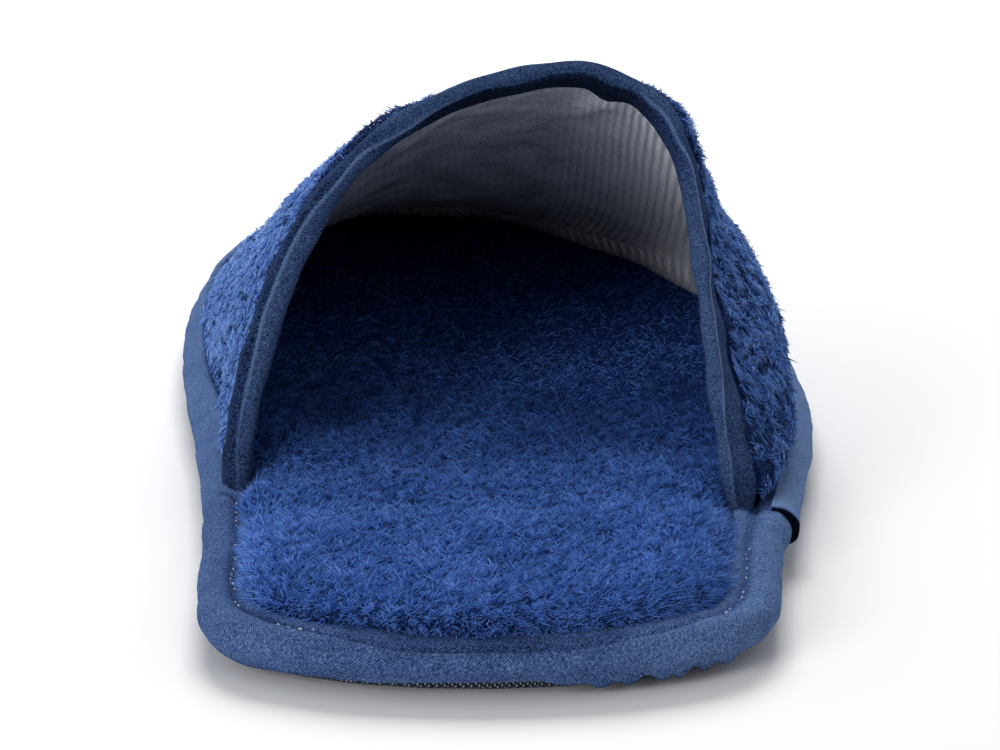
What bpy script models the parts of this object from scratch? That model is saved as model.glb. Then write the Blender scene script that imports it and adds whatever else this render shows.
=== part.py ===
"""A backless bath slipper for the right foot: board, pile insole, hollow vamp and two woven tapes.

Frame: metres, +Z up, +Y to the toe, +X to the outer side of the foot, origin on the floor under the
middle of the slipper. The sizes and tables below are in millimetres: along is measured from the back
of the heel, across from the heel's own centre line, and height from the floor.
"""

import math

import bmesh
import bpy
import numpy as np

MM = 0.001

# Driving sizes
LENGTH = 265.0
BALL_WIDTH = 108.5
INSTEP_HEIGHT = 63.0
TOE_SPRING = 1.8
SPRING_START = 0.70
GAP = 0.3

# Sole outline from above, heel back first, then round by the outer side.
# along is a share of LENGTH and across a share of BALL_WIDTH.
OUTLINE = (
    # along, across
    (0.000, 0.000),
    (0.013, 0.198),
    (0.048, 0.330),
    (0.124, 0.381),
    (0.278, 0.439),
    (0.400, 0.503),
    (0.519, 0.526),
    (0.733, 0.463),
    (0.853, 0.341),
    (0.936, 0.193),
    (0.998, -0.083),
    (0.976, -0.252),
    (0.891, -0.400),
    (0.714, -0.472),
    (0.365, -0.411),
    (0.135, -0.380),
    (0.050, -0.343),
    (0.013, -0.206),
)

# Vamp sections from the waist to the toe. along is a share of LENGTH, ridge_across in millimetres,
# ridge_height a share of INSTEP_HEIGHT. The two fullness columns say how square the outer and the
# inner shoulder are: 1 is a straight slope, 2 an ellipse. The crown is always round.
SECTIONS = (
    # along, ridge_across, ridge_height, outer_fullness, inner_fullness
    (0.20, 14.0, 1.20, 1.00, 1.30),
    (0.34, 15.0, 1.12, 1.15, 1.70),
    (0.42, 17.0, 1.05, 1.25, 1.85),
    (0.48, 18.0, 0.99, 1.45, 1.90),
    (0.52, 18.0, 0.93, 1.58, 1.84),
    (0.56, 16.0, 0.87, 1.64, 1.70),
    (0.64, 11.0, 0.72, 1.82, 1.48),
    (0.72, 6.0, 0.56, 1.95, 1.38),
    (0.80, 1.0, 0.43, 2.00, 1.40),
    (0.88, -4.0, 0.37, 2.10, 1.60),
    (1.00, -9.0, 0.34, 2.10, 2.00),
)
CROWN_POWER = 6
TOE_ROUND_START = 0.83

# Collar line: share of the way over the vamp from the outer side, and distance from the heel.
COLLAR = (
    # share, along
    (0.00, 62.5),
    (0.15, 91.0),
    (0.30, 113.5),
    (0.43, 124.5),
    (0.51, 125.5),
    (0.60, 118.5),
    (0.75, 103.0),
    (0.88, 90.5),
    (1.00, 79.5),
)
COLLAR_LEAN = 0.65

# Tape thickness, shared by both bindings
TAPE = 1.1

# Board: flat top, half-round edge, and a narrower tread below it
BOARD_TOP = 6.6
EDGE_RADIUS = 1.3
EDGE_CENTRE_INSET = EDGE_RADIUS + GAP + TAPE
EDGE_CENTRE_HEIGHT = BOARD_TOP - EDGE_RADIUS
TREAD_SIDE = (
    # inset, height
    (6.6, 0.0),
    (5.6, 0.6),
    (5.0, 2.0),
    (4.9, EDGE_CENTRE_HEIGHT - EDGE_RADIUS),
)

# Insole: inset from the rim and rise over the board, from its lower edge to its crown
INSOLE_EDGE = (
    # inset, rise
    (6.5, 0.0),
    (7.0, 1.1),
    (8.3, 2.1),
    (11.0, 2.8),
    (14.0, 3.2),
)

# Vamp wall: a leaning foot beside the board, then the arch
WALL = 2.4
FOOT_LEVEL = BOARD_TOP + GAP
FOOT_INSET = 2.6
SHOULDER_LEVEL = 12.5
SHOULDER_INSET = 5.2
FOOT_LEAN = math.atan2(SHOULDER_INSET - FOOT_INSET, SHOULDER_LEVEL - FOOT_LEVEL)
WAIST_PULL = 2.4
WAIST_PULL_BEHIND = 12.0
WAIST_PULL_FRONT = 65.0
WALL_START = 8.2
FOOT_ROWS = 2
ARCH_ROWS = 24
LENGTH_ROWS = 18

# Sole tape: lip over the board at the heel, lip up the vamp's foot in front
LIP_REACH = 6.0
LIP_HEEL = 8.0
LIP_LOW = 8.5
LIP_HIGH = 10.5
LIP_RISE = 24.0
LIP_UNDER = 4.5
TURN_LENGTH = 8.0
LAP_START = 57.5
LAP_STEP = 0.7
LAP_THICK = 2.8
LAP_FADE = 72.0

# Collar tape: how far each leg reaches from the cut edge, and where its two ends stop
COLLAR_OUTER_LEG = 4.6
COLLAR_INNER_LEG = 6.0
COLLAR_END_LEVEL = 11.2
COLLAR_GAP = 0.5

# Mesh fineness
RIM_SAMPLES = 1440
STATIONS = 30


def closed_curve(points, samples):
    """Smooth closed curve through the points: a periodic cubic measured along its chords."""
    points = np.asarray(points, float)
    count = len(points)
    step = np.linalg.norm(np.roll(points, -1, axis=0) - points, axis=1)
    before = np.roll(step, 1)
    chord = (np.roll(points, -1, axis=0) - points) / step[:, None]
    pull = 3 * (chord * before[:, None] + np.roll(chord, 1, axis=0) * step[:, None])
    matrix = np.zeros((count, count))
    for i in range(count):
        matrix[i, i] = 2 * (before[i] + step[i])
        matrix[i, i - 1] = step[i]
        matrix[i, (i + 1) % count] = before[i]
    slope = np.linalg.solve(matrix, pull)
    knots = np.concatenate([[0], np.cumsum(step)])
    where = np.linspace(0, knots[-1], samples, endpoint=False)
    i = np.minimum(np.searchsorted(knots, where, side="right") - 1, count - 1)
    j = (i + 1) % count
    f = ((where - knots[i]) / step[i])[:, None]
    return cubic(points[i], points[j], slope[i], slope[j], step[i][:, None], f)


def cubic(start, end, start_slope, end_slope, width, f):
    """Cubic piece between two values with given slopes."""
    return (
        start * (1 + 2 * f) * (1 - f) ** 2
        + end * f * f * (3 - 2 * f)
        + start_slope * width * f * (1 - f) ** 2
        - end_slope * width * f * f * (1 - f)
    )


def read_table(rows, column, at):
    """A table's column read smoothly against its first column."""
    rows = np.asarray(rows, float)
    x, y = rows[:, 0], rows[:, column]
    slope = np.gradient(y, x)
    at = min(max(at, x[0]), x[-1])
    i = min(max(int(np.searchsorted(x, at, side="right")) - 1, 0), len(x) - 2)
    width = x[i + 1] - x[i]
    return cubic(y[i], y[i + 1], slope[i], slope[i + 1], width, (at - x[i]) / width)


def ease(share):
    """0 to 1 with level ends."""
    share = min(max(share, 0.0), 1.0)
    return share * share * (3 - 2 * share)


def make_rim():
    """The sole's outermost line as (across, along) points, heel back first, and its outward normals."""
    table = np.asarray(OUTLINE)
    rim = closed_curve(np.column_stack([table[:, 1] * BALL_WIDTH, table[:, 0] * LENGTH]), RIM_SAMPLES)
    rim = np.roll(rim, -int(np.argmin(rim[:, 1])), axis=0)
    tangent = np.roll(rim, -1, axis=0) - np.roll(rim, 1, axis=0)
    normal = np.column_stack([tangent[:, 1], -tangent[:, 0]])
    return rim, normal / np.linalg.norm(normal, axis=1)[:, None]


RIM, RIM_NORMAL = make_rim()
CENTRE_ACROSS = (RIM[:, 0].max() + RIM[:, 0].min()) / 2
CENTRE_ALONG = (RIM[:, 1].max() + RIM[:, 1].min()) / 2


class InsetLine:
    """The rim moved inwards by one distance, with its outer and inner halves read against along."""

    kept = {}

    def __init__(self, inset):
        line = RIM - RIM_NORMAL * inset
        toe = int(np.argmax(line[:, 1]))
        self.outer = line[: toe + 1]
        self.inner = np.vstack([line[toe:], line[:1]])[::-1]
        self.toe = line[toe, 1]

    @classmethod
    def at(cls, inset):
        key = round(float(inset), 4)
        if key not in cls.kept:
            cls.kept[key] = cls(key)
        return cls.kept[key]

    def across(self, along, outer):
        half = self.outer if outer else self.inner
        return float(np.interp(along, half[:, 1], half[:, 0]))


def spring(along):
    """How far the toe has left the floor."""
    return TOE_SPRING * ease((along / LENGTH - SPRING_START) / (1 - SPRING_START)) ** 1.5


def place(across, along, height):
    """Table millimetres to the part's frame in metres."""
    return (
        (across - CENTRE_ACROSS) * MM,
        (along - CENTRE_ALONG) * MM,
        (height + spring(along)) * MM,
    )


def collar_end(outer):
    """Where the vamp's foot stops at the waist."""
    along = COLLAR[0][1] if outer else COLLAR[-1][1]
    return along - COLLAR_LEAN * (SHOULDER_LEVEL - WALL_START)


def waist_pull(along, outer):
    """How much further in than elsewhere the vamp's foot stands beside the waist."""
    ahead = along - collar_end(outer)
    return WAIST_PULL * ease(1 + ahead / WAIST_PULL_BEHIND) * (1 - ease(ahead / WAIST_PULL_FRONT))


def foot_across(line, along, outer):
    """The vamp's foot on an inset line, with the waist drawn in."""
    pull = waist_pull(along, outer)
    return line.across(along, outer) - (pull if outer else -pull)


def sole_stations():
    """Places round the rim where the sole's pieces have a section, as (along, outer side): close at
    the round ends, and on both sides of the lap and of the vamp's two ends."""
    start, end = RIM[:, 1].min(), RIM[:, 1].max()
    along = [LAP_START, LAP_START + LAP_STEP]
    for i in range(STATIONS + 1):
        along.append(start + (end - start) * (1 - math.cos(math.pi * i / STATIONS)) / 2)
    for stop in (collar_end(True), collar_end(False)):
        along += [stop - TURN_LENGTH, stop - TURN_LENGTH / 2, stop - 2 * TAPE, stop + LIP_RISE / 2]
    along = sorted(along)
    return [(a, True) for a in along] + [(a, False) for a in along[-2:0:-1]]


def rim_point(along, outer, inset, height):
    """The point a distance inside the rim, square to it."""
    toe = int(np.argmax(RIM[:, 1]))
    if outer:
        half, normals = RIM[: toe + 1], RIM_NORMAL[: toe + 1]
    else:
        half = np.vstack([RIM[toe:], RIM[:1]])[::-1]
        normals = np.vstack([RIM_NORMAL[toe:], RIM_NORMAL[:1]])[::-1]
    normal = np.array([np.interp(along, half[:, 1], normals[:, k]) for k in (0, 1)])
    normal /= np.linalg.norm(normal)
    foot = np.array([np.interp(along, half[:, 1], half[:, 0]), along])
    moved = foot - normal * inset
    return place(moved[0], moved[1], height)


def join_rows(shape, rows, around, over=False):
    """Faces between neighbouring rows of points. around closes each row, over joins the last row to
    the first. Returns the rows of vertices."""
    grid = [[shape.verts.new(point) for point in row] for row in rows]
    pairs = list(zip(grid, grid[1:]))
    if over:
        pairs.append((grid[-1], grid[0]))
    for low, high in pairs:
        count = len(low)
        for i in range(count if around else count - 1):
            j = (i + 1) % count
            shape.faces.new((low[i], low[j], high[j], high[i]))
    return grid


def close_ring(shape, row):
    """A ladder of faces across a ring whose two sides pair up from the heel to the toe."""
    last = len(row) // 2
    shape.faces.new((row[0], row[1], row[-1]))
    for i in range(1, last - 1):
        shape.faces.new((row[i], row[i + 1], row[-i - 1], row[-i]))
    shape.faces.new((row[last - 1], row[last], row[last + 1]))


def layered_plate(shape, profile, pull=0.0):
    """A plate with the sole's outline whose edge follows (inset, height) points from below up, and
    goes in with the vamp's foot at the waist by a share of its pull."""
    rows = []
    for inset, height in profile:
        row = []
        for along, outer in sole_stations():
            row.append(rim_point(along, outer, inset + pull * waist_pull(along, outer), height))
        rows.append(row)
    grid = join_rows(shape, rows, around=True)
    close_ring(shape, grid[0])
    close_ring(shape, grid[-1])


def on_edge(radius, degrees):
    """Inset and height of a point round the board's half-round edge."""
    turn = math.radians(degrees)
    inset = EDGE_CENTRE_INSET - radius * math.cos(turn)
    return np.array([inset, EDGE_CENTRE_HEIGHT + radius * math.sin(turn)])


def on_foot(height, off):
    """Inset and height of a point at a distance outside the vamp's leaning foot."""
    inset = FOOT_INSET + (height - FOOT_LEVEL) * math.tan(FOOT_LEAN)
    return np.array([inset - off * math.cos(FOOT_LEAN), height + off * math.sin(FOOT_LEAN)])


def build_board(shape):
    edge = [tuple(on_edge(EDGE_RADIUS, degrees)) for degrees in (-90, -45, 0, 45, 90)]
    layered_plate(shape, list(TREAD_SIDE) + edge)


def build_insole(shape):
    layered_plate(shape, [(inset, BOARD_TOP + GAP + rise) for inset, rise in INSOLE_EDGE], pull=1.0)


def ridge_height(along):
    """The vamp's top line, rounded down to the shoulder at the toe."""
    line = read_table(SECTIONS, 2, along / LENGTH) * INSTEP_HEIGHT
    start = TOE_ROUND_START * LENGTH
    end = InsetLine.at(SHOULDER_INSET).toe
    share = min(max((along - start) / (end - start), 0.0), 1.0)
    return SHOULDER_LEVEL + (line - SHOULDER_LEVEL) * math.sqrt(1 - share**2)


def arch_point(along, share):
    """Outer face of the vamp above its shoulder. share runs from the outer side over to the inner."""
    line = InsetLine.at(SHOULDER_INSET)
    outer = share <= 0.5
    sides = foot_across(line, along, False), foot_across(line, along, True)
    ridge = min(max(read_table(SECTIONS, 1, along / LENGTH), sides[0]), sides[1])
    fullness = read_table(SECTIONS, 3 if outer else 4, along / LENGTH)
    c, s = abs(math.cos(math.pi * share)), abs(math.sin(math.pi * share))
    fullness += (2.0 - fullness) * s**CROWN_POWER
    radius = (c**fullness + s**fullness) ** (-1 / fullness)
    across = ridge + (sides[outer] - ridge) * radius * c
    height = SHOULDER_LEVEL + (ridge_height(along) - SHOULDER_LEVEL) * radius * s
    return np.array([across, along, height])


def vamp_point(row, toward_toe):
    """A point of the vamp's outer face. row counts from the outer foot over to the inner foot, and
    toward_toe goes from 0 at the collar to 1 at the toe."""
    from_foot = min(row, ARCH_ROWS + 2 * FOOT_ROWS - row)
    share = min(max((row - FOOT_ROWS) / ARCH_ROWS, 0.0), 1.0)
    collar = read_table(COLLAR, 1, share)
    reach = 1 - (1 - toward_toe) ** 2
    if from_foot >= FOOT_ROWS:
        toe = InsetLine.at(SHOULDER_INSET).toe
        return arch_point(collar + (toe - collar) * reach, share)
    height = WALL_START + (SHOULDER_LEVEL - WALL_START) * from_foot / FOOT_ROWS
    line = InsetLine.at(on_foot(height, 0.0)[0])
    collar -= COLLAR_LEAN * (SHOULDER_LEVEL - height)
    along = collar + (line.toe - collar) * reach
    return np.array([foot_across(line, along, share == 0.0), along, height])


def build_vamp(shape):
    """The vamp's open outer face, from the toe back to the collar."""
    places = range(ARCH_ROWS + 2 * FOOT_ROWS + 1)
    rows = []
    for i in range(LENGTH_ROWS, -1, -1):
        rows.append([place(*vamp_point(row, i / LENGTH_ROWS)) for row in places])
    join_rows(shape, rows, around=False)


def lap_thickness(along):
    """Extra thickness on the outer side, where the tape's last end lies over its first."""
    return LAP_THICK * ease((along - LAP_START) / LAP_STEP) * (1 - ease((along - LAP_START) / LAP_FADE))


def tape_section(along, outer):
    """The sole tape's closed section as (inset, height) points: over the board at the heel, and up
    the foot of the vamp in front of its end."""
    inside = EDGE_RADIUS + GAP
    outside = inside + TAPE
    end = collar_end(outer)
    front = ease((along - end + TURN_LENGTH) / (TURN_LENGTH - 2 * TAPE))
    lip = LIP_LOW + (LIP_HIGH - LIP_LOW) * ease((along - end) / LIP_RISE)
    heel_outer = [np.array([LIP_REACH, LIP_HEEL])] + [on_edge(outside, d) for d in (90, 60, 30)]
    drawn_in = np.array([waist_pull(along, outer), 0.0])
    front_outer = [
        on_foot(lip, GAP + TAPE) + drawn_in,
        on_foot(FOOT_LEVEL + 0.62 * (lip - FOOT_LEVEL), GAP + TAPE) + 0.8 * drawn_in,
        on_foot(FOOT_LEVEL + 0.25 * (lip - FOOT_LEVEL), GAP + TAPE) + 0.4 * drawn_in,
        on_edge(outside, 24),
    ]
    heel_inner = [on_edge(inside, 45), on_edge(inside, 90), np.array([LIP_REACH, FOOT_LEVEL])]
    front_inner = [on_edge(inside, 38), on_foot(FOOT_LEVEL + GAP, GAP), on_foot(lip, GAP) + drawn_in]
    outer_face = [h + (v - h) * front for h, v in zip(heel_outer, front_outer)]
    inner_face = [h + (v - h) * front for h, v in zip(heel_inner, front_inner)]
    outer_face += [on_edge(outside, d) for d in (0, -30, -60)]
    if outer:
        outer_face = [point - np.array([lap_thickness(along), 0.0]) for point in outer_face]
    sides = on_edge(outside, -90), on_edge(inside, -90)
    under = [sides[0]] + [np.array([LIP_UNDER, side[1]]) for side in sides] + [sides[1]]
    return outer_face + under + [on_edge(inside, degrees) for degrees in (-45, 0)] + inner_face


def build_sole_tape(shape):
    """One section at each station of the rim, joined end to end."""
    rows = []
    for along, outer in sole_stations():
        section = tape_section(along, outer)
        rows.append([rim_point(along, outer, inset, height) for inset, height in section])
    join_rows(shape, rows, around=True, over=True)


def collar_section(row):
    """The collar tape's section at a place on the cut edge: a folded strip, outer leg first."""
    step = 0.02
    middle = vamp_point(row, 0.0)
    into = vamp_point(row, step) - middle
    reach = np.linalg.norm(into) / step

    def frame(toward_toe):
        here = vamp_point(row, toward_toe)
        along = vamp_point(row, toward_toe + step) - here
        over = vamp_point(row + step, toward_toe) - vamp_point(row - step, toward_toe)
        normal = np.cross(along, over)
        return here, along / np.linalg.norm(along), normal / np.linalg.norm(normal)

    def point(past_edge, off):
        here, along, normal = frame(max(-past_edge, 0.0) / reach)
        return place(*(here - along * max(past_edge, 0.0) + normal * off))

    inside = WALL + COLLAR_GAP
    return [
        point(-COLLAR_OUTER_LEG, COLLAR_GAP + TAPE),
        point(0.0, COLLAR_GAP + TAPE),
        point(COLLAR_GAP + 0.7 * TAPE, COLLAR_GAP + 0.6 * TAPE),
        point(COLLAR_GAP + TAPE, -0.3 * WALL),
        point(COLLAR_GAP + TAPE, -0.7 * WALL),
        point(COLLAR_GAP + 0.7 * TAPE, -inside - 0.6 * TAPE),
        point(0.0, -inside - TAPE),
        point(-COLLAR_INNER_LEG, -inside - TAPE),
        point(-COLLAR_INNER_LEG, -inside),
        point(COLLAR_GAP, -inside),
        point(COLLAR_GAP, COLLAR_GAP),
        point(-COLLAR_OUTER_LEG, COLLAR_GAP),
    ]


def build_collar_tape(shape):
    """The folded strip along the cut edge, with a section at each row of the vamp and flat ends."""
    first = FOOT_ROWS * (COLLAR_END_LEVEL - WALL_START) / (SHOULDER_LEVEL - WALL_START)
    last = ARCH_ROWS + 2 * FOOT_ROWS - first
    places = [first] + list(range(FOOT_ROWS, FOOT_ROWS + ARCH_ROWS + 1)) + [last]
    grid = join_rows(shape, [collar_section(row) for row in places], around=True)
    for row in (grid[0], grid[-1]):
        outer_leg = [row[i] for i in (0, 1, 10, 11)]
        fold = [row[i] for i in (1, 2, 3, 4, 5, 6, 9, 10)]
        inner_leg = [row[i] for i in (6, 7, 8, 9)]
        for corners in (outer_leg, fold, inner_leg):
            shape.faces.new(corners)


def material(name, colour, roughness):
    made = bpy.data.materials.new(name)
    made.use_nodes = True
    shader = made.node_tree.nodes["Principled BSDF"]
    shader.inputs["Base Color"].default_value = (*colour, 1.0)
    shader.inputs["Roughness"].default_value = roughness
    return made


def add_piece(name, build, finish, collection, closed=True):
    """A named object made by a shape function, shaded smooth between its sharp edges."""
    shape = bmesh.new()
    build(shape)
    bmesh.ops.remove_doubles(shape, verts=shape.verts, dist=1e-6)
    if closed:
        bmesh.ops.recalc_face_normals(shape, faces=shape.faces)
    mesh = bpy.data.meshes.new(name)
    shape.to_mesh(mesh)
    shape.free()
    mesh.shade_smooth()
    mesh.set_sharp_from_angle(angle=math.radians(50))
    mesh.materials.append(finish)
    piece = bpy.data.objects.new(name, mesh)
    collection.objects.link(piece)
    return piece


def main():
    for old in list(bpy.data.objects):
        bpy.data.objects.remove(old)
    slipper = bpy.data.collections.new("bath_slipper")
    bpy.context.scene.collection.children.link(slipper)

    sole_cloth = material("sole_cloth", (0.03, 0.05, 0.14), 0.9)
    insole_pile = material("insole_pile", (0.04, 0.12, 0.5), 0.95)
    vamp_pile = material("vamp_pile", (0.05, 0.14, 0.52), 0.95)
    sole_tape = material("sole_tape", (0.07, 0.13, 0.38), 0.85)
    collar_tape = material("collar_tape", (0.05, 0.12, 0.42), 0.85)

    add_piece("outsole", build_board, sole_cloth, slipper)
    add_piece("insole", build_insole, insole_pile, slipper)
    vamp = add_piece("upper", build_vamp, vamp_pile, slipper, closed=False)
    wall = vamp.modifiers.new("wall", "SOLIDIFY")
    wall.thickness = WALL * MM
    wall.offset = -1.0
    wall.use_even_offset = True
    add_piece("sole_binding", build_sole_tape, sole_tape, slipper)
    add_piece("collar_binding", build_collar_tape, collar_tape, slipper)


main()
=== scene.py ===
# %% [markdown]
# # A towelling bath slipper, dressed
# This is the right slipper of a pair: a thin board wrapped in woven tape, a pile insole, and a hollow
# vamp of curled towelling with a ribbed lining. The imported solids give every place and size. What
# follows lays cloth, tape, thread and pile over them, one piece at a time.

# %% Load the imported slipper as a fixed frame
import math

import bmesh
import bpy
import numpy as np
from mathutils import Euler, Matrix, kdtree


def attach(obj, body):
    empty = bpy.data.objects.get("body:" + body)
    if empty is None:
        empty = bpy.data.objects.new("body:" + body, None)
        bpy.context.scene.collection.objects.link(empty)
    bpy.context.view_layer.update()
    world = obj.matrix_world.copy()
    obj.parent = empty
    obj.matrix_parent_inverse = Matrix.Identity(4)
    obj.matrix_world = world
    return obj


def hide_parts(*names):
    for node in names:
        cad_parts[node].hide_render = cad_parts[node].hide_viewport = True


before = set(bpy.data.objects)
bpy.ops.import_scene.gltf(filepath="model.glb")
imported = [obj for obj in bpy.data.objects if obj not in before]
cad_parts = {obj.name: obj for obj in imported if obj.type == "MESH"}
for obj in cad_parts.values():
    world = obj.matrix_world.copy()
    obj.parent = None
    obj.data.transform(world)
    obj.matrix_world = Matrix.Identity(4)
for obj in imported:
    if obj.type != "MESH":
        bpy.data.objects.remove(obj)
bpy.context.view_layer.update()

MM = 0.001

# %% [markdown]
# ## Camera, floor and light
# The picture was taken from behind the heel, low and a little to the left, with a long lens. Setting
# the camera first means that every later piece can be judged from the right place. A pale floor and
# a white sky give plain studio light. A large soft lamp high above the toe leaves the inside and the
# faces towards the heel in shade. A small low one, behind on the left, reaches the lining's right wall.

# %% Camera at the heel end
CAMERA_PLACE = (-16.79, -536.30, 153.5)
LOOK_DOWN, LOOK_RIGHT = 15.0, 2.0
LENS, SENSOR = 117.7, 36.0

lens = bpy.data.cameras.new("heel_view")
lens.lens, lens.sensor_width = LENS, SENSOR
camera = bpy.data.objects.new("heel_view", lens)
camera.location = [value * MM for value in CAMERA_PLACE]
camera.rotation_euler = Euler((math.radians(90 - LOOK_DOWN), 0.0, math.radians(-LOOK_RIGHT)))
bpy.context.scene.collection.objects.link(camera)
bpy.context.scene.camera = camera
bpy.context.scene.view_settings.view_transform = "Standard"
print("camera at", tuple(round(value, 4) for value in camera.location))

# %% Soft studio light
SKY_STRENGTH = 0.42
LAMPS = (
    # name, place in metres, width, watts
    ("light_above_the_toe", (0.0, 1.05, 1.00), 0.80, 20.0),
    ("low_left_light", (-0.70, -0.88, 0.40), 0.50, 6.2),
)

sky = bpy.data.worlds.new("studio_sky")
sky.use_nodes = True
sky.node_tree.nodes["Background"].inputs["Color"].default_value = (1.0, 1.0, 1.0, 1.0)
sky.node_tree.nodes["Background"].inputs["Strength"].default_value = SKY_STRENGTH
bpy.context.scene.world = sky
for name, spot, width, watts in LAMPS:
    lamp = bpy.data.lights.new(name, "AREA")
    lamp.size, lamp.energy = width, watts
    holder = bpy.data.objects.new(name, lamp)
    holder.location = spot
    holder.rotation_euler = holder.location.to_track_quat("Z", "Y").to_euler()
    bpy.context.scene.collection.objects.link(holder)
print("lamps:", [row[0] for row in LAMPS])

# %% [markdown]
# ## A small way of writing finishes
# A material is a graph of nodes, but sums read better than wires. The class below wraps one socket,
# so that `1 - mask * 0.5` adds the Math nodes it needs. Every other node comes from one method that
# takes the node's kind, its settings and what goes into its sockets.


# %% Sockets that can be added and multiplied
class Value:
    """One output socket of a finish. Sums with it add Math nodes."""

    def __init__(self, finish, socket):
        self.finish, self.socket = finish, socket

    def sum(self, operation, first, second=0.0):
        return self.finish.node("ShaderNodeMath", {"operation": operation}, {0: first, 1: second})

    def __add__(self, other):
        return self.sum("ADD", self, other)

    def __sub__(self, other):
        return self.sum("SUBTRACT", self, other)

    def __rsub__(self, other):
        return self.sum("SUBTRACT", other, self)

    def __mul__(self, other):
        return self.sum("MULTIPLY", self, other)

    __radd__, __rmul__ = __add__, __mul__

    def wave(self, length):
        """A sine from 0 to 1 that repeats each length."""
        return self.sum("SINE", self * (2 * math.pi / length)) * 0.5 + 0.5


class Finish:
    """A material with one Principled shader and the nodes that feed it."""

    def __init__(self, name, **constants):
        self.material = bpy.data.materials.new(name)
        self.material.use_nodes = True
        self.tree = self.material.node_tree
        self.shader = self.tree.nodes["Principled BSDF"]
        for socket, value in constants.items():
            self.shader.inputs[socket.replace("_", " ")].default_value = value

    def node(self, kind, settings=None, sockets=None, output=0):
        made = self.tree.nodes.new(kind)
        for key, value in (settings or {}).items():
            if key == "stops":
                ramp = made.color_ramp.elements
                for i, (place, colour) in enumerate(value):
                    stop = ramp[i] if i < len(ramp) else ramp.new(place)
                    stop.position, stop.color = place, (*colour, 1.0)
            else:
                setattr(made, key, value)
        for key, value in (sockets or {}).items():
            if isinstance(value, Value):
                self.tree.links.new(value.socket, made.inputs[key])
            else:
                made.inputs[key].default_value = value
        return Value(self, made.outputs[output])

    def attribute(self, name):
        return self.node("ShaderNodeAttribute", {"attribute_name": name}, output="Fac")

    def cloth(self):
        """The two cloth directions in millimetres, from the piece's own map."""
        spread = self.node("ShaderNodeUVMap", {"uv_map": "cloth"})
        parts = self.node("ShaderNodeSeparateXYZ", None, {0: spread}).socket.node
        return Value(self, parts.outputs[0]), Value(self, parts.outputs[1])

    def place(self):
        return self.node("ShaderNodeTexCoord", output="Object")

    def noise(self, size_mm, detail=2.0):
        return self.node(
            "ShaderNodeTexNoise", None,
            {"Vector": self.place(), "Scale": 1 / (size_mm * MM), "Detail": detail},
        )

    def ramp(self, value, *stops):
        return self.node("ShaderNodeValToRGB", {"stops": stops}, {0: value})

    def feed(self, **sockets):
        for key, value in sockets.items():
            self.tree.links.new(value.socket, self.shader.inputs[key.replace("_", " ")])
        return self

    def bump(self, height, depth_mm):
        sockets = {"Strength": 1.0, "Distance": depth_mm * MM, "Height": height}
        return self.feed(Normal=self.node("ShaderNodeBump", None, sockets))


print("finish writer ready")

# %% [markdown]
# ## The floor
# A plain pale sheet, wide enough that its edge never shows. It belongs to the stage and not to the
# slipper.

# %% Pale floor
FLOOR_HALF_WIDTH = 3.0

floor_sheet = bmesh.new()
bmesh.ops.create_grid(floor_sheet, x_segments=1, y_segments=1, size=FLOOR_HALF_WIDTH)
floor_mesh = bpy.data.meshes.new("floor")
floor_sheet.to_mesh(floor_mesh)
floor_sheet.free()
floor = bpy.data.objects.new("floor", floor_mesh)
bpy.context.scene.collection.objects.link(floor)
floor_paint = Finish("floor_paint", Base_Color=(0.9, 0.9, 0.9, 1.0), Roughness=0.9)
floor_mesh.materials.append(floor_paint.material)
print("floor laid")

# %% [markdown]
# ## The shape tables
# The slipper is driven by a few tables: the sole's outline from above, the vamp's sections from the
# waist to the toe, and the line of the collar. They are in millimetres, measured along from the back
# of the heel and across from the heel's centre line. Reading them here again puts each cloth exactly
# on its solid.

# %% Sizes and tables
LENGTH, BALL_WIDTH, INSTEP_HEIGHT = 265.0, 108.5, 63.0
TOE_SPRING, SPRING_START, GAP = 1.8, 0.70, 0.3
OUTLINE = (
    # along, across
    (0.000, 0.000), (0.013, 0.198), (0.048, 0.330), (0.124, 0.381), (0.278, 0.439), (0.400, 0.503),
    (0.519, 0.526), (0.733, 0.463), (0.853, 0.341), (0.936, 0.193), (0.998, -0.083), (0.976, -0.252),
    (0.891, -0.400), (0.714, -0.472), (0.365, -0.411), (0.135, -0.380), (0.050, -0.343),
    (0.013, -0.206),
)
SECTIONS = (
    # along, ridge_across, ridge_height, outer_fullness, inner_fullness
    (0.20, 14.0, 1.20, 1.00, 1.30),
    (0.34, 15.0, 1.12, 1.15, 1.70),
    (0.42, 17.0, 1.05, 1.25, 1.85),
    (0.48, 18.0, 0.99, 1.45, 1.90),
    (0.52, 18.0, 0.93, 1.58, 1.84),
    (0.56, 16.0, 0.87, 1.64, 1.70),
    (0.64, 11.0, 0.72, 1.82, 1.48),
    (0.72, 6.0, 0.56, 1.95, 1.38),
    (0.80, 1.0, 0.43, 2.00, 1.40),
    (0.88, -4.0, 0.37, 2.10, 1.60),
    (1.00, -9.0, 0.34, 2.10, 2.00),
)
COLLAR = (
    # share, along
    (0.00, 62.5), (0.15, 91.0), (0.30, 113.5), (0.43, 124.5), (0.51, 125.5), (0.60, 118.5),
    (0.75, 103.0), (0.88, 90.5), (1.00, 79.5),
)
CROWN_POWER, TOE_ROUND_START, COLLAR_LEAN = 6, 0.83, 0.65
BOARD_TOP, EDGE_RADIUS, TAPE = 6.6, 1.3, 1.1
EDGE_CENTRE_INSET, EDGE_CENTRE_HEIGHT = EDGE_RADIUS + GAP + TAPE, BOARD_TOP - EDGE_RADIUS
WALL, FOOT_LEVEL, FOOT_INSET = 2.4, BOARD_TOP + GAP, 2.6
SHOULDER_LEVEL, SHOULDER_INSET, WALL_START = 12.5, 5.2, 8.2
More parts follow.
